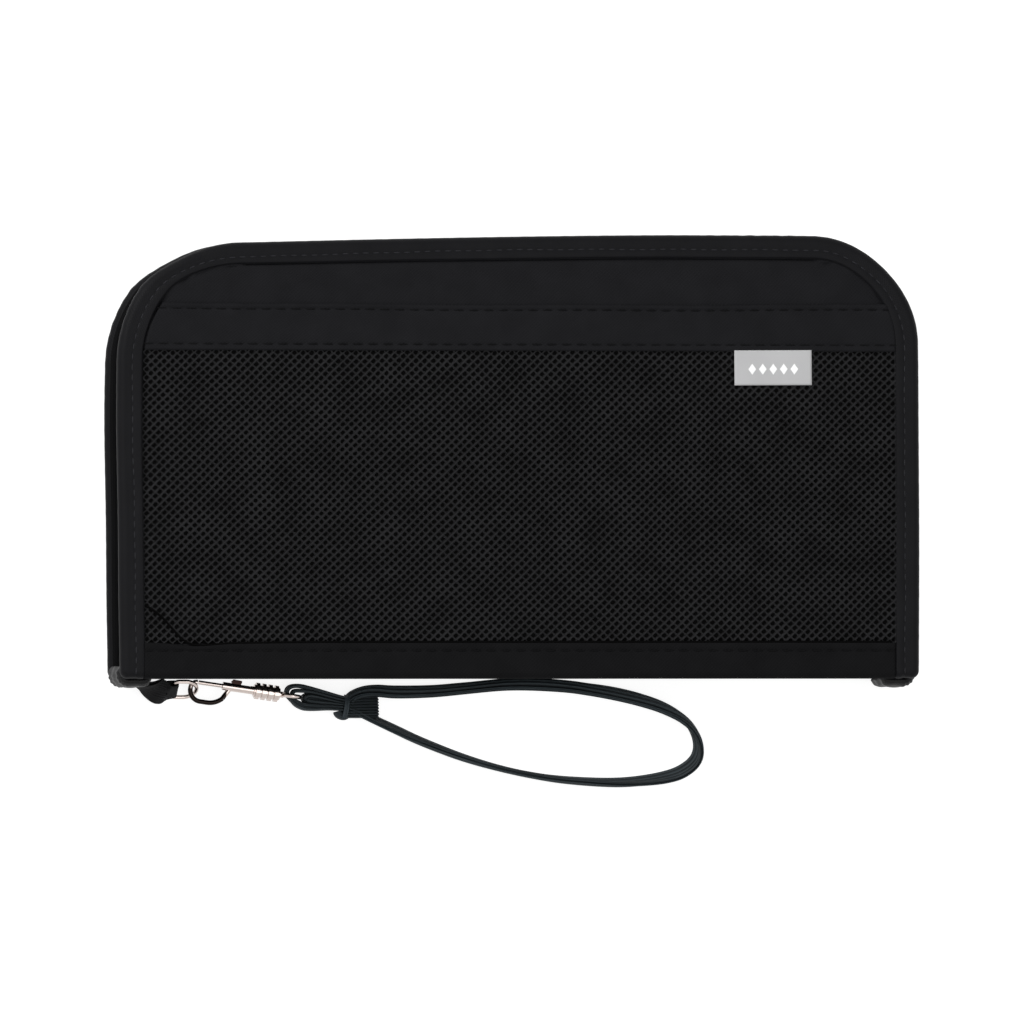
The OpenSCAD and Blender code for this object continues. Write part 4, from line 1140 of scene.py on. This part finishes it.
def make_label():
    """Woven label with a plain row of diamonds, tucked under the band."""
    (x0, y0), (x1, y1) = TAG_MIN, TAG_MAX
    middle = ((x0 + x1) / 2, (y0 + y1) / 2)

    def turned(x, y):
        dx, dy = x - middle[0], y - middle[1]
        return (middle[0] + dx * cos(TAG_TURN) - dy * sin(TAG_TURN),
                middle[1] + dx * sin(TAG_TURN) + dy * cos(TAG_TURN))

    def top(x, y):
        low = min(x - x0, x1 - x, y - y0)
        return CASE_T + 0.16 - 0.2 * dent(low, 0.25) + 0.06 * sin(x / 3.1) * dent(y - y0, 4)

    obj = slab("woven_label", list(np.linspace(0, 1, 60)), spaced(y0, y1, 0.4), lambda y: (x0, x1),
               top, lambda x, y: CASE_T - 0.12)
    dress(moved(obj, turned), "label_satin", "front_cover", "tag")
    verts, faces = [], []
    count, pitch, half_w, half_h = 5, 3.1, 1.15, 1.6
    foot, face = CASE_T + 0.12, CASE_T + 0.24
    for i in range(count):
        cx = middle[0] + (i - (count - 1) / 2) * pitch
        cy = middle[1] - 0.4
        base = len(verts)
        for z in (foot, face):
            for dx, dy in ((half_w, 0), (0, half_h), (-half_w, 0), (0, -half_h)):
                verts.append((*turned(cx + dx, cy + dy), z))
        faces.append((base + 4, base + 5, base + 6, base + 7))
        faces.append((base + 3, base + 2, base + 1, base))
        for k in range(4):
            n = (k + 1) % 4
            faces.append((base + k, base + n, base + 4 + n, base + 4 + k))
    uvs = [verts[v][:2] for f in faces for v in f]
    mark = mesh_object("label_diamonds", verts, faces, uvs, smooth=False)
    dress(mark, "label_white_weft", "front_cover")


make_label()

# --- Layers inside the covers ---

# The covers' layers: the depths that each one fills, from the cover's outer face
FOAM = {"back": (1.5, 3.0), "front": (1.9, 2.98)}
FOIL = (3.02, 3.18)
LINING = (3.22, 3.98)
LAYER_IN = 1.8


def make_layer(cover, layer, form, material, depths, relief=0.0, short=0.2):
    """A flat layer of a cover. relief is on its inner face; short is how far it stops before the crease."""
    low, high = depths
    front = cover == "front"
    rows = spaced(CREASE_Y + short, CASE_H / 2 - LAYER_IN, PLAIN_STEP)

    def inner(x, y):
        return high - relief * (0.12 - ripple(x, y))

    if front:
        shape = (lambda x, y: CASE_T - low, lambda x, y: CASE_T - inner(x, y))
    else:
        shape = (inner, lambda x, y: low)
    obj = slab(f"{cover}_{layer}_{form}", unit_places(PLAIN_STEP), rows, cover_side_x(LAYER_IN), *shape)
    return dress(sagged(obj, not front), material, BODY_OF[cover], f"{cover}_{layer}")


for cover in ("back", "front"):
    make_layer(cover, "foam", "sheet", "foam_polyethylene", FOAM[cover])
    make_layer(cover, "foil", "sheet", "foil_aluminium", FOIL, short=1.6)
    make_layer(cover, "lining", "cloth", "lining_taffeta", LINING, relief=1.0)

# --- Pockets on the linings ---


def soft_step(value):
    """From 0 to 1 with a soft start and end."""
    t = part_way(value)
    return t * t * (3 - 2 * t)


# How far in from its edges a pocket is sewn down
SEAM_IN = 1.2


def make_pocket(name, node, body, xs, ys, base, rise, facing, mouth=1, hem=6.0, full=0.25, ease=2.0):
    """A cloth pocket sewn flat at three edges, doubled at its mouth. facing is 1 up and -1 down;
    mouth is 1 when it opens towards the top and -1 towards the bottom."""
    (x0, x1), (y0, y1) = xs, ys
    open_y, shut_y = (y1, y0) if mouth > 0 else (y0, y1)
    hem_y = open_y - mouth * hem
    stitch_y = open_y - mouth * (hem - 0.9)

    def lift(x, y):
        edge = min(x - x0, x1 - x, abs(y - shut_y))
        up = 0.45 + (rise - 0.75) * soft_step(edge / ease)
        doubled = 0.26 * soft_step((y - hem_y) * mouth / 0.5)
        sewn = 0.2 * dent(y - stitch_y, 0.4) + 0.18 * dent(edge - SEAM_IN, 0.4)
        belly = full * sin(pi * (x - x0) / (x1 - x0)) * soft_step(abs(y - shut_y) / 30)
        return min(rise, up + doubled + belly - sewn + ripple(x, y, 1.3) * soft_step(edge / 4))

    seam_left, seam_right, seam_shut = x0 + SEAM_IN, x1 - SEAM_IN, shut_y + mouth * SEAM_IN
    xs = spaced(x0, x1, 2.4, [(seam_left, 1.0, 0.4), (seam_right, 1.0, 0.4)])
    columns = [(x - x0) / (x1 - x0) for x in xs]
    rows = spaced(y0, y1, 2.4, [(hem_y, 1.6, 0.35), (seam_shut, 1.0, 0.4), (open_y, 0.6, 0.3)])
    # The outer face and the one on the cloth below; the upper of the two comes first
    shape = (lambda x, y: base + facing * lift(x, y), lambda x, y: base + facing * 0.02)[::facing]
    dress(slab(name, columns, rows, lambda y: (x0, x1), *shape), "pocket_taffeta", body, node)
    along_x, along_y = np.arange(seam_left, x1 - 0.8, 1.0), np.arange(y0 + SEAM_IN, y1 - 0.8, 1.0)
    edges = [[(seam_left, y) for y in along_y], [(seam_right, y) for y in along_y],
             [(x, seam_shut) for x in along_x],
             [(x, stitch_y) for x in np.arange(x0 + 0.8, x1 - 0.6, 1.0)]]
    for line in edges:
        stitch(body, [(x, y, base + facing * (lift(x, y) + 0.04)) for x, y in line], 3.0, 2.2, 0.32)


POCKET_LOW_Y = -59.7
# Heights of the cloth that each pocket is sewn to, and the room under the coin pocket's zip
TICKET_ON, PASSPORT_ON, COIN_ON = 4.0, 4.9, 20.6
COIN_RISE = 3.45
COIN_X = (-106.3, 87.7)
make_pocket("ticket_pocket_cloth", "ticket_pocket", "root", (-108.3, 93.9), (POCKET_LOW_Y, 22.3),
            TICKET_ON, 1.38, 1)
make_pocket("passport_pocket_cloth", "passport_pocket", "root", (-106.3, -6.3), (POCKET_LOW_Y, 6.3),
            PASSPORT_ON, 1.48, 1)
for i, high_y in enumerate((6.3, -3.7, -13.7)):
    make_pocket(f"card_pocket_step_{i}", None if i else "card_pockets", "root", (1.7, 91.9),
                (POCKET_LOW_Y, high_y), PASSPORT_ON + 0.6 * i, 0.75, 1, full=0.12, ease=1.2)
make_pocket("coin_pocket_lower_cloth", "coin_pocket_lower", "front_cover", COIN_X, (POCKET_LOW_Y, 5.05),
            COIN_ON, COIN_RISE, -1, hem=3.0, full=0.1, ease=11)
make_pocket("coin_pocket_upper_cloth", "coin_pocket_upper", "front_cover", COIN_X, (11.55, 26.3),
            COIN_ON, COIN_RISE, -1, mouth=-1, hem=3.0, full=0.1, ease=6)


def make_pen_loop():
    """Elastic tape sewn down as a round loop for a pen."""
    r, middle_x, middle_z, foot_z = 5.35, 101.1, 9.75, 4.9
    low, high = -25.7, 4.3
    angles = np.radians(np.linspace(-84, 264, 90))
    path = np.array([(middle_x + r * cos(a), (low + high) / 2, middle_z + r * sin(a)) for a in angles])
    rings = ribbon_rings(path, (0.0, 1.0, 0.0), high - low - 0.2, 0.7, 0.0, ribs=14, rib_depth=0.12)
    dress(loft("pen_loop_elastic", rings), "ribbed_elastic", "root", "pen_loop")
    for y in (low + 1.5, high - 1.5):
        stitch("root", [(x, y, foot_z) for x in np.arange(97.5, 105, 1.0)], 2.5, 1.9, 0.32)


make_pen_loop()

# --- Zip tapes: woven, sewn flat inside the bindings and standing up to the teeth ---


TAPE_LOW_Y = -61.4


def make_zip_tape(cover):
    """A zip tape: flat where it is sewn to the binding, then upright, with a bead at the teeth."""
    front = cover == "front"
    rim = rim_points(0.9, TAPE_LOW_Y)
    rings = []
    for s, x, y, nx, ny in rim:
        lean = 0.12 * sin(s / 9.0)
        # Sewn foot, outer side, bead, inner side
        section = [(1.15, 4.52), (1.15, 4.98), (2.4, 5.06), (3.6, 5.02), (4.5, 5.14), (4.72, 5.45)]
        section += [(4.72 + lean * sin((h - 5) * 0.5), h) for h in (6.4, 7.6, 8.8, 9.8, 10.4)]
        section += [(4.78, 10.68), (5.22, 10.68)]
        section += [(5.28 + lean * sin((h - 5) * 0.5), h) for h in (9.8, 8.4, 7.0)]
        section += [(5.28, 5.4), (5.1, 4.55), (3.2, 4.52)]
        rings.append(rim_ring(x, y, nx, ny, section, front))
    tape = sagged(loft(f"{cover}_zip_tape_cloth", rings), not front)
    dress(tape, "zip_tape_twill", BODY_OF[cover], f"{cover}_zip_tape")


def lay_teeth(cover):
    """A row of the frame's teeth, laid along the sagged edge."""
    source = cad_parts[f"{cover}_zip_teeth"]
    mesh = source.data.copy()
    mesh.transform(source.matrix_world)
    row = sagged(placed(f"{cover}_teeth_row", mesh), cover == "back")
    dress(row, "acetal_teeth", BODY_OF[cover], f"{cover}_zip_teeth")


for cover in ("back", "front"):
    make_zip_tape(cover)
for cover in ("back", "front"):
    lay_teeth(cover)

# The line along which the coin pocket's zip runs
COIN_ZIP_Y = 8.3


def make_coin_tape():
    """The coin pocket's zip tape: two woven edges that meet under the teeth."""
    xs = np.linspace(-105.1, 86.5, 160)
    halves = []
    for side in (1, -1):
        rings = []
        for x in xs:
            high, low = 18.24 + 0.05 * sin(x / 3), 17.68 + 0.05 * sin(x / 3)
            section = [(6.0, 17.72), (6.0, 18.2), (3.0, high), (0.35, 18.2), (0.25, 17.9),
                       (0.35, 17.72), (3.0, low)]
            rings.append([(x, COIN_ZIP_Y + side * v, z) for v, z in section])
        halves.append(loft(f"coin_tape_{side}", rings))
    dress(joined("coin_zip_tape_cloth", halves), "zip_tape_twill", "front_cover",
          "coin_zip_tape")


make_coin_tape()

# --- Spine and its gussets ---


def make_spine_layer(name, node, material, outer_y, inner_y, relief):
    """An upright layer of the spine between the two covers."""
    heights = np.linspace(SPINE_LOW, SPINE_HIGH, 17)
    rings = []
    for x in np.linspace(-SPINE_SIDE, SPINE_SIDE, 150):
        outer = []
        for z in heights:
            full = 0.3 * sin(pi * (z - SPINE_LOW) / SPINE_RISE)
            outer.append((outer_y + relief * (full + 0.4 * ripple(x, z * 3)), z))
        inner = [(inner_y - relief * (0.06 + 0.4 * ripple(x, z * 3)), z) for z in heights[::-1]]
        rings.append([(x, y, z) for y, z in outer + inner])
    dress(loft(name, rings), material, "root", node)


make_spine_layer("spine_cloth", "spine_shell", "shell_polyester", -63.98, -63.22, 1.0)
make_spine_layer("spine_board_strip", "spine_board", "board_grey", -63.18, -62.52, 0.0)
make_spine_layer("spine_lining_cloth", "spine_lining", "lining_taffeta", -62.48, -62.02, 0.3)


def make_gussets():
    """Soft cloth that closes each bottom corner beside the spine, folded once like a bellows."""
    turn, thick = 3.6, 2.7
    both = []
    for side in (1, -1):
        arc = [(113.9 + turn * cos(a), -62.9 + turn * sin(a)) for a in np.linspace(0, -pi / 2, 10)]
        path = [(117.4, -60.3), (117.5, -61.7), *arc,
                (111.5, -66.5), (109.4, -66.4), (107.6, -66.0), (106.4, -65.2)]
        path = smooth_path([(side * x, y, 0.0) for x, y in path], 5)
        run = path_turns(path)
        rings = []
        for i, p in enumerate(path):
            inward = np.array((-run[i][1], run[i][0], 0.0))
            if inward[1] - inward[0] * side < 0:
                inward = -inward
            end = min(1.0, i / 6, (len(path) - 1 - i) / 6)
            ring = []
            for z in np.linspace(SPINE_LOW + 0.1, SPINE_HIGH - 0.1, 25):
                fold = 0.22 * (1 - cos(2 * pi * (z - SPINE_LOW) / (SPINE_RISE / 2)))
                close = 1.3 * dent(SPINE_HIGH - z, 1.1) + 0.3 * dent(z - SPINE_LOW, 0.5)
                pucker = 0.1 * sin(i / 1.9 + z / 2.3)
                ring.append(p + inward * (fold + close + pucker + 0.8 * (1 - end)) + np.array((0, 0, z)))
            for z in (SPINE_HIGH - 0.1, 16, 12.3, 8, SPINE_LOW + 0.1):
                ring.append(p + inward * thick + np.array((0, 0, z)))
            rings.append(ring)
        both.append(loft(f"gusset_{side}", rings))
    dress(joined("corner_gussets", both), "gusset_polyester", "root", "spine_bindings")


make_gussets()

# --- Tab that holds the D-ring ---

RING_MID = np.array([-98.1, -66.97, 3.4868])
RING_TILT = radians(52)


def make_tab():
    """Ribbon folded round the D-ring's bar; its two ends twist flat into the case's bottom corner."""
    # The width runs along the bar at the ring, then nearly level, then nearly upright at the case
    bar = np.array((0.0, cos(RING_TILT), sin(RING_TILT)))
    flat = np.array((0.12, 0.93, 0.35))
    wall = np.array((0.3, 0.0, 0.95))
    # Distance left of the bar, shift in y and in z, half the gap between the layers, width, and the way
    # that the width runs
    half = [(10.4, 1.35, 4.6, 0.42, 5.6, wall), (8.6, 1.0, 3.6, 0.45, 6.4, wall * 0.75 + flat * 0.25),
            (6.6, 0.35, 2.3, 0.5, 7.2, wall * 0.4 + flat * 0.6), (4.6, -0.35, 1.2, 0.6, 7.6, flat),
            (2.9, -0.6, 0.5, 0.8, 7.4, flat * 0.7 + bar * 0.3), (1.5, -0.2, 0.15, 0.95, 6.4, bar)]
    places, turns, widths = [], [], []
    for side, order in ((1, half), (-1, half[::-1])):
        for x, rise, lift, gap, wide, turn in order:
            turn = turn / np.linalg.norm(turn)
            face = np.cross((1.0, 0.0, 0.0), turn)
            places.append(RING_MID + np.array((-x, rise, lift)) + face * gap * side)
            turns.append(turn)
            widths.append(wide)
        if side > 0:
            face = np.cross((1.0, 0.0, 0.0), bar)
            for a in (60, 20, -20, -60):
                places.append(RING_MID + np.array((cos(radians(a)), 0, 0)) + face * sin(radians(a)))
                turns.append(bar)
                widths.append(5.8)
    path = smooth_path(places, 6)
    across = smooth_path(turns, 6)
    width = smooth_path([(w, 0, 0) for w in widths], 6)[:, 0]
    rings = ribbon_rings(path, across, width, 0.8, 0.12, ribs=9, rib_depth=0.06)
    dress(loft("strap_tab_ribbon", rings), "tab_ribbon", "root", "strap_tab")
    face = np.cross((1.0, 0.0, 0.0), bar)
    line = [RING_MID + np.array((-2.1, -0.25, 0.2)) + bar * t + face * 1.4 for t in np.arange(-2.6, 2.7, 0.5)]
    stitch("root", [tuple(p) for p in line], 1.7, 1.2, 0.34)


make_tab()

# --- Wrist strap's gathered end ---

CINCH_X = 44.1


def on_clasp(x, y, z=0.0):
    """A place in the clasp's frame as a place in the case's."""
    return CLASP_AT + CLASP_ALONG * x + CLASP_SIDE * y + np.array((0.0, 0.0, z))


def make_strap_head():
    """The ribbon's end, pleated lengthwise and folded through the clasp's eye, gathered behind it."""
    # Each fold out to the eye and back: place along and beside the bolt's axis, and the ribbon's height
    outer = [(44.4, 1.8, 4.4), (41.5, 2.0, 4.7), (37.5, 2.5, 5.2), (33.5, 3.0, 5.4), (30, 3.15, 5.2),
             (27.6, 2.5, 4.6), (26.8, 1.2, 3.5), (27.4, -0.1, 2.9), (28.9, -1.3, 3.4),
             (30.4, -2.4, 4.6), (32.4, -3.0, 5.2), (35, -2.85, 5.3), (39, -2.2, 5.0), (42, -1.9, 4.7),
             (44.4, -1.7, 4.4)]
    middle = [(44.4, 1.0, 4.6), (41, 1.2, 4.9), (37, 1.65, 5.4), (33.6, 2.0, 5.5), (31.2, 1.9, 5.0),
              (29, 1.5, 4.0), (28.5, 0.4, 3.0), (29, -0.7, 3.0), (30.4, -1.5, 4.2), (32.6, -1.95, 5.2),
              (36, -1.75, 5.2), (40, -1.3, 4.9), (44.4, -1.0, 4.6)]
    inner = [(44.4, 0.25, 4.8), (40, 0.4, 5.2), (36, 0.75, 5.6), (33.4, 0.8, 5.3), (32.4, 0.2, 4.6),
             (33, -0.6, 5.0), (36, -0.65, 5.4), (40, -0.35, 5.1), (44.4, -0.25, 4.8)]
    folds = []
    for number, points in enumerate((outer, middle, inner)):
        path = smooth_path(points, 7)
        high = path[:, 2].copy()
        wave_z = 0.14 * np.sin(np.arange(len(path)) / 5.0 + number * 2)
        place = np.array([on_clasp(x, y, -0.1 + dz) for (x, y, h), dz in zip(path, wave_z)])
        thick = np.interp(path[:, 0], (27, 31, 38, 44), (1.25, 1.25, 1.0, 0.75)) - 0.1 * number
        curl = 0.12 * np.sin(np.arange(len(place)) / 7.0)
        folds.append(loft(f"fold_{number}", ribbon_rings(place, UP, high, thick, curl)))
    core = []
    for x in np.linspace(31.6, 44.4, 16):
        half_w = np.interp(x, (31.6, 33.5, 38, 44.4), (0.9, 2.5, 2.1, 1.5))
        core.append([on_clasp(x, half_w * cos(a), -0.9 + 1.7 * sin(a)) for a in np.arange(24) * pi / 12])
    folds.append(loft("fold_core", core))
    return dress(joined("strap_head_folds", folds), "gathered_ribbon", "clasp", "strap_head")


def make_cinch():
    """Thread wound tight round the gathered ribbon."""
    turns, rows = 5, 22
    half_wide, half_high = 3.38, 2.65
    path = []
    for i in range(turns * rows + 1):
        a = 2 * pi * i / rows
        x = CINCH_X - 0.3 + 1.4 * i / (turns * rows) + 0.06 * sin(a * 0.7)
        path.append(on_clasp(x, half_wide * cos(a) - 0.87, half_high * sin(a)))
    return dress(loft("strap_cinch_thread", tube_rings(np.array(path), 0.2, 8)),
                 "cinch_thread", "clasp", "strap_cinch")


def make_tail():
    """The ribbon's cut end, still pleated, spread like a fan past the thread."""
    length, pleats = 10.0, 7.5
    # From the thread to the cut edge (t) and across the fan (q)
    rings = []
    for t in np.linspace(0, 1, 26):
        low = np.interp(t, (0, 0.12, 1), (-3.9, -4.0, -2.7))
        high = np.interp(t, (0, 0.12, 1), (1.9, 2.0, 3.6))
        top, under = [], []
        for q in np.linspace(0, 1, 91):
            x = CINCH_X + 0.2 + (length - 1.0 * q) * t
            y = low + (high - low) * q
            pleat = abs(sin(pi * (pleats * q + 0.15))) ** 0.7
            edge = sqrt(max(0.0, 1 - abs(2 * q - 1) ** 8))
            crest = (0.7 + 0.4 * (1 - q) + 1.8 * pleat * (0.75 + 0.25 * t)) * edge
            top.append(on_clasp(x, y, crest))
            under.append(on_clasp(x, y, -1.5 * edge + 0.3 * pleat * edge))
        rings.append(top + under[::-1])
    return dress(loft("strap_tail_fan", rings), "gathered_ribbon", "clasp", "strap_tail")


def make_fold_bump():
    """The outer pleat's end, doubled back under the thread."""
    points = [(42.4, -2.5), (42.7, -3.1), (43.4, -3.5), (44.5, -3.6), (45.3, -3.0)]
    path = smooth_path([on_clasp(x, y, -0.4) for x, y in points], 6)
    rings = ribbon_rings(path, UP, 3.6, 2.2, 0.0)
    return dress(loft("strap_fold_bump", rings), "gathered_ribbon", "clasp")


strap_pieces = [make_strap_head(), make_cinch(), make_tail(), make_fold_bump()]

# --- Stage: lamps, floor and backdrop ---


def shown_and_unshown(tree, unshown, shown):
    """One shader for what lights the pieces and one for what the camera sees, straight or mirrored."""
    rays = add_node(tree, "ShaderNodeLightPath").outputs
    seen = join(tree, "MAXIMUM", rays["Is Camera Ray"],
                join(tree, "MAXIMUM", rays["Is Glossy Ray"], rays["Is Transmission Ray"]))
    mix = add_node(tree, "ShaderNodeMixShader",
                   [(0, seen), (1, unshown.outputs[0]), (2, shown.outputs[0])])
    return mix.outputs[0]


FLOOR_REACH = 4.0
# How bright the room lights the pieces; the camera sees it pure white
FILL_LIGHT = 0.56


def make_stage():
    """White room and floor, a lamp at the upper left and a large one overhead."""
    scene = bpy.context.scene
    scene.view_settings.view_transform = "Standard"
    world = bpy.data.worlds.new("studio")
    scene.world = world
    world.use_nodes = True
    tree = world.node_tree
    tree.nodes.clear()
    fill, white = (add_node(tree, "ShaderNodeBackground", Color=colour("ffffff"), Strength=strength)
                   for strength in (FILL_LIGHT, 1.0))
    add_node(tree, "ShaderNodeOutputWorld", [("Surface", shown_and_unshown(tree, fill, white))])
    for name, place, size, power in (
        ("key_softbox", (-0.85, 0.6, 0.9), 0.6, 12.0),
        ("top_softbox", (0.25, -0.2, 1.5), 1.1, 6.0),
    ):
        data = bpy.data.lights.new(name, "AREA")
        data.size = size
        data.energy = power
        lamp = placed(name, data)
        lamp.location = place
        lamp.rotation_euler = (-Vector(place)).to_track_quat("-Z", "Y").to_euler()
    floor = bpy.data.meshes.new("floor")
    corners = [(-1, -1), (1, -1), (1, 1), (-1, 1)]
    floor.from_pydata([(x * FLOOR_REACH, y * FLOOR_REACH, 0) for x, y in corners], [], [(0, 1, 2, 3)])
    material = bpy.data.materials.new("white_paper_sweep")
    material.use_nodes = True
    tree = material.node_tree
    tree.nodes.clear()
    paper, faint = (add_node(tree, "ShaderNodeBsdfDiffuse", Color=colour(code))
                    for code in ("e8e8e8", "9a9a9a"))
    glow = add_node(tree, "ShaderNodeEmission", Color=colour("ffffff"), Strength=0.85)
    bright = add_node(tree, "ShaderNodeAddShader", [(0, faint.outputs[0]), (1, glow.outputs[0])])
    add_node(tree, "ShaderNodeOutputMaterial", [("Surface", shown_and_unshown(tree, paper, bright))])
    floor.materials.append(material)
    placed("floor", floor)


make_stage()
make_stitches()

# --- Carried-over pieces of the frame ---

FRAME_FINISH = {
    "acetal_teeth": ("coin_zip_teeth",),
    "black_nickel": ("back_zip_stops", "front_zip_stops", "zip_slider", "zip_pull", "coin_slider",
                     "coin_pull"),
    "nickel_hook": ("clasp_hook",),
    "nickel_bolt": ("clasp_bolt",),
    "nickel_plate": ("d_ring", "swivel_eye"),
}
for material, names in FRAME_FINISH.items():
    for name in names:
        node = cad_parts[name]
        node.data.materials.clear()
        node.data.materials.append(MATERIALS[material])
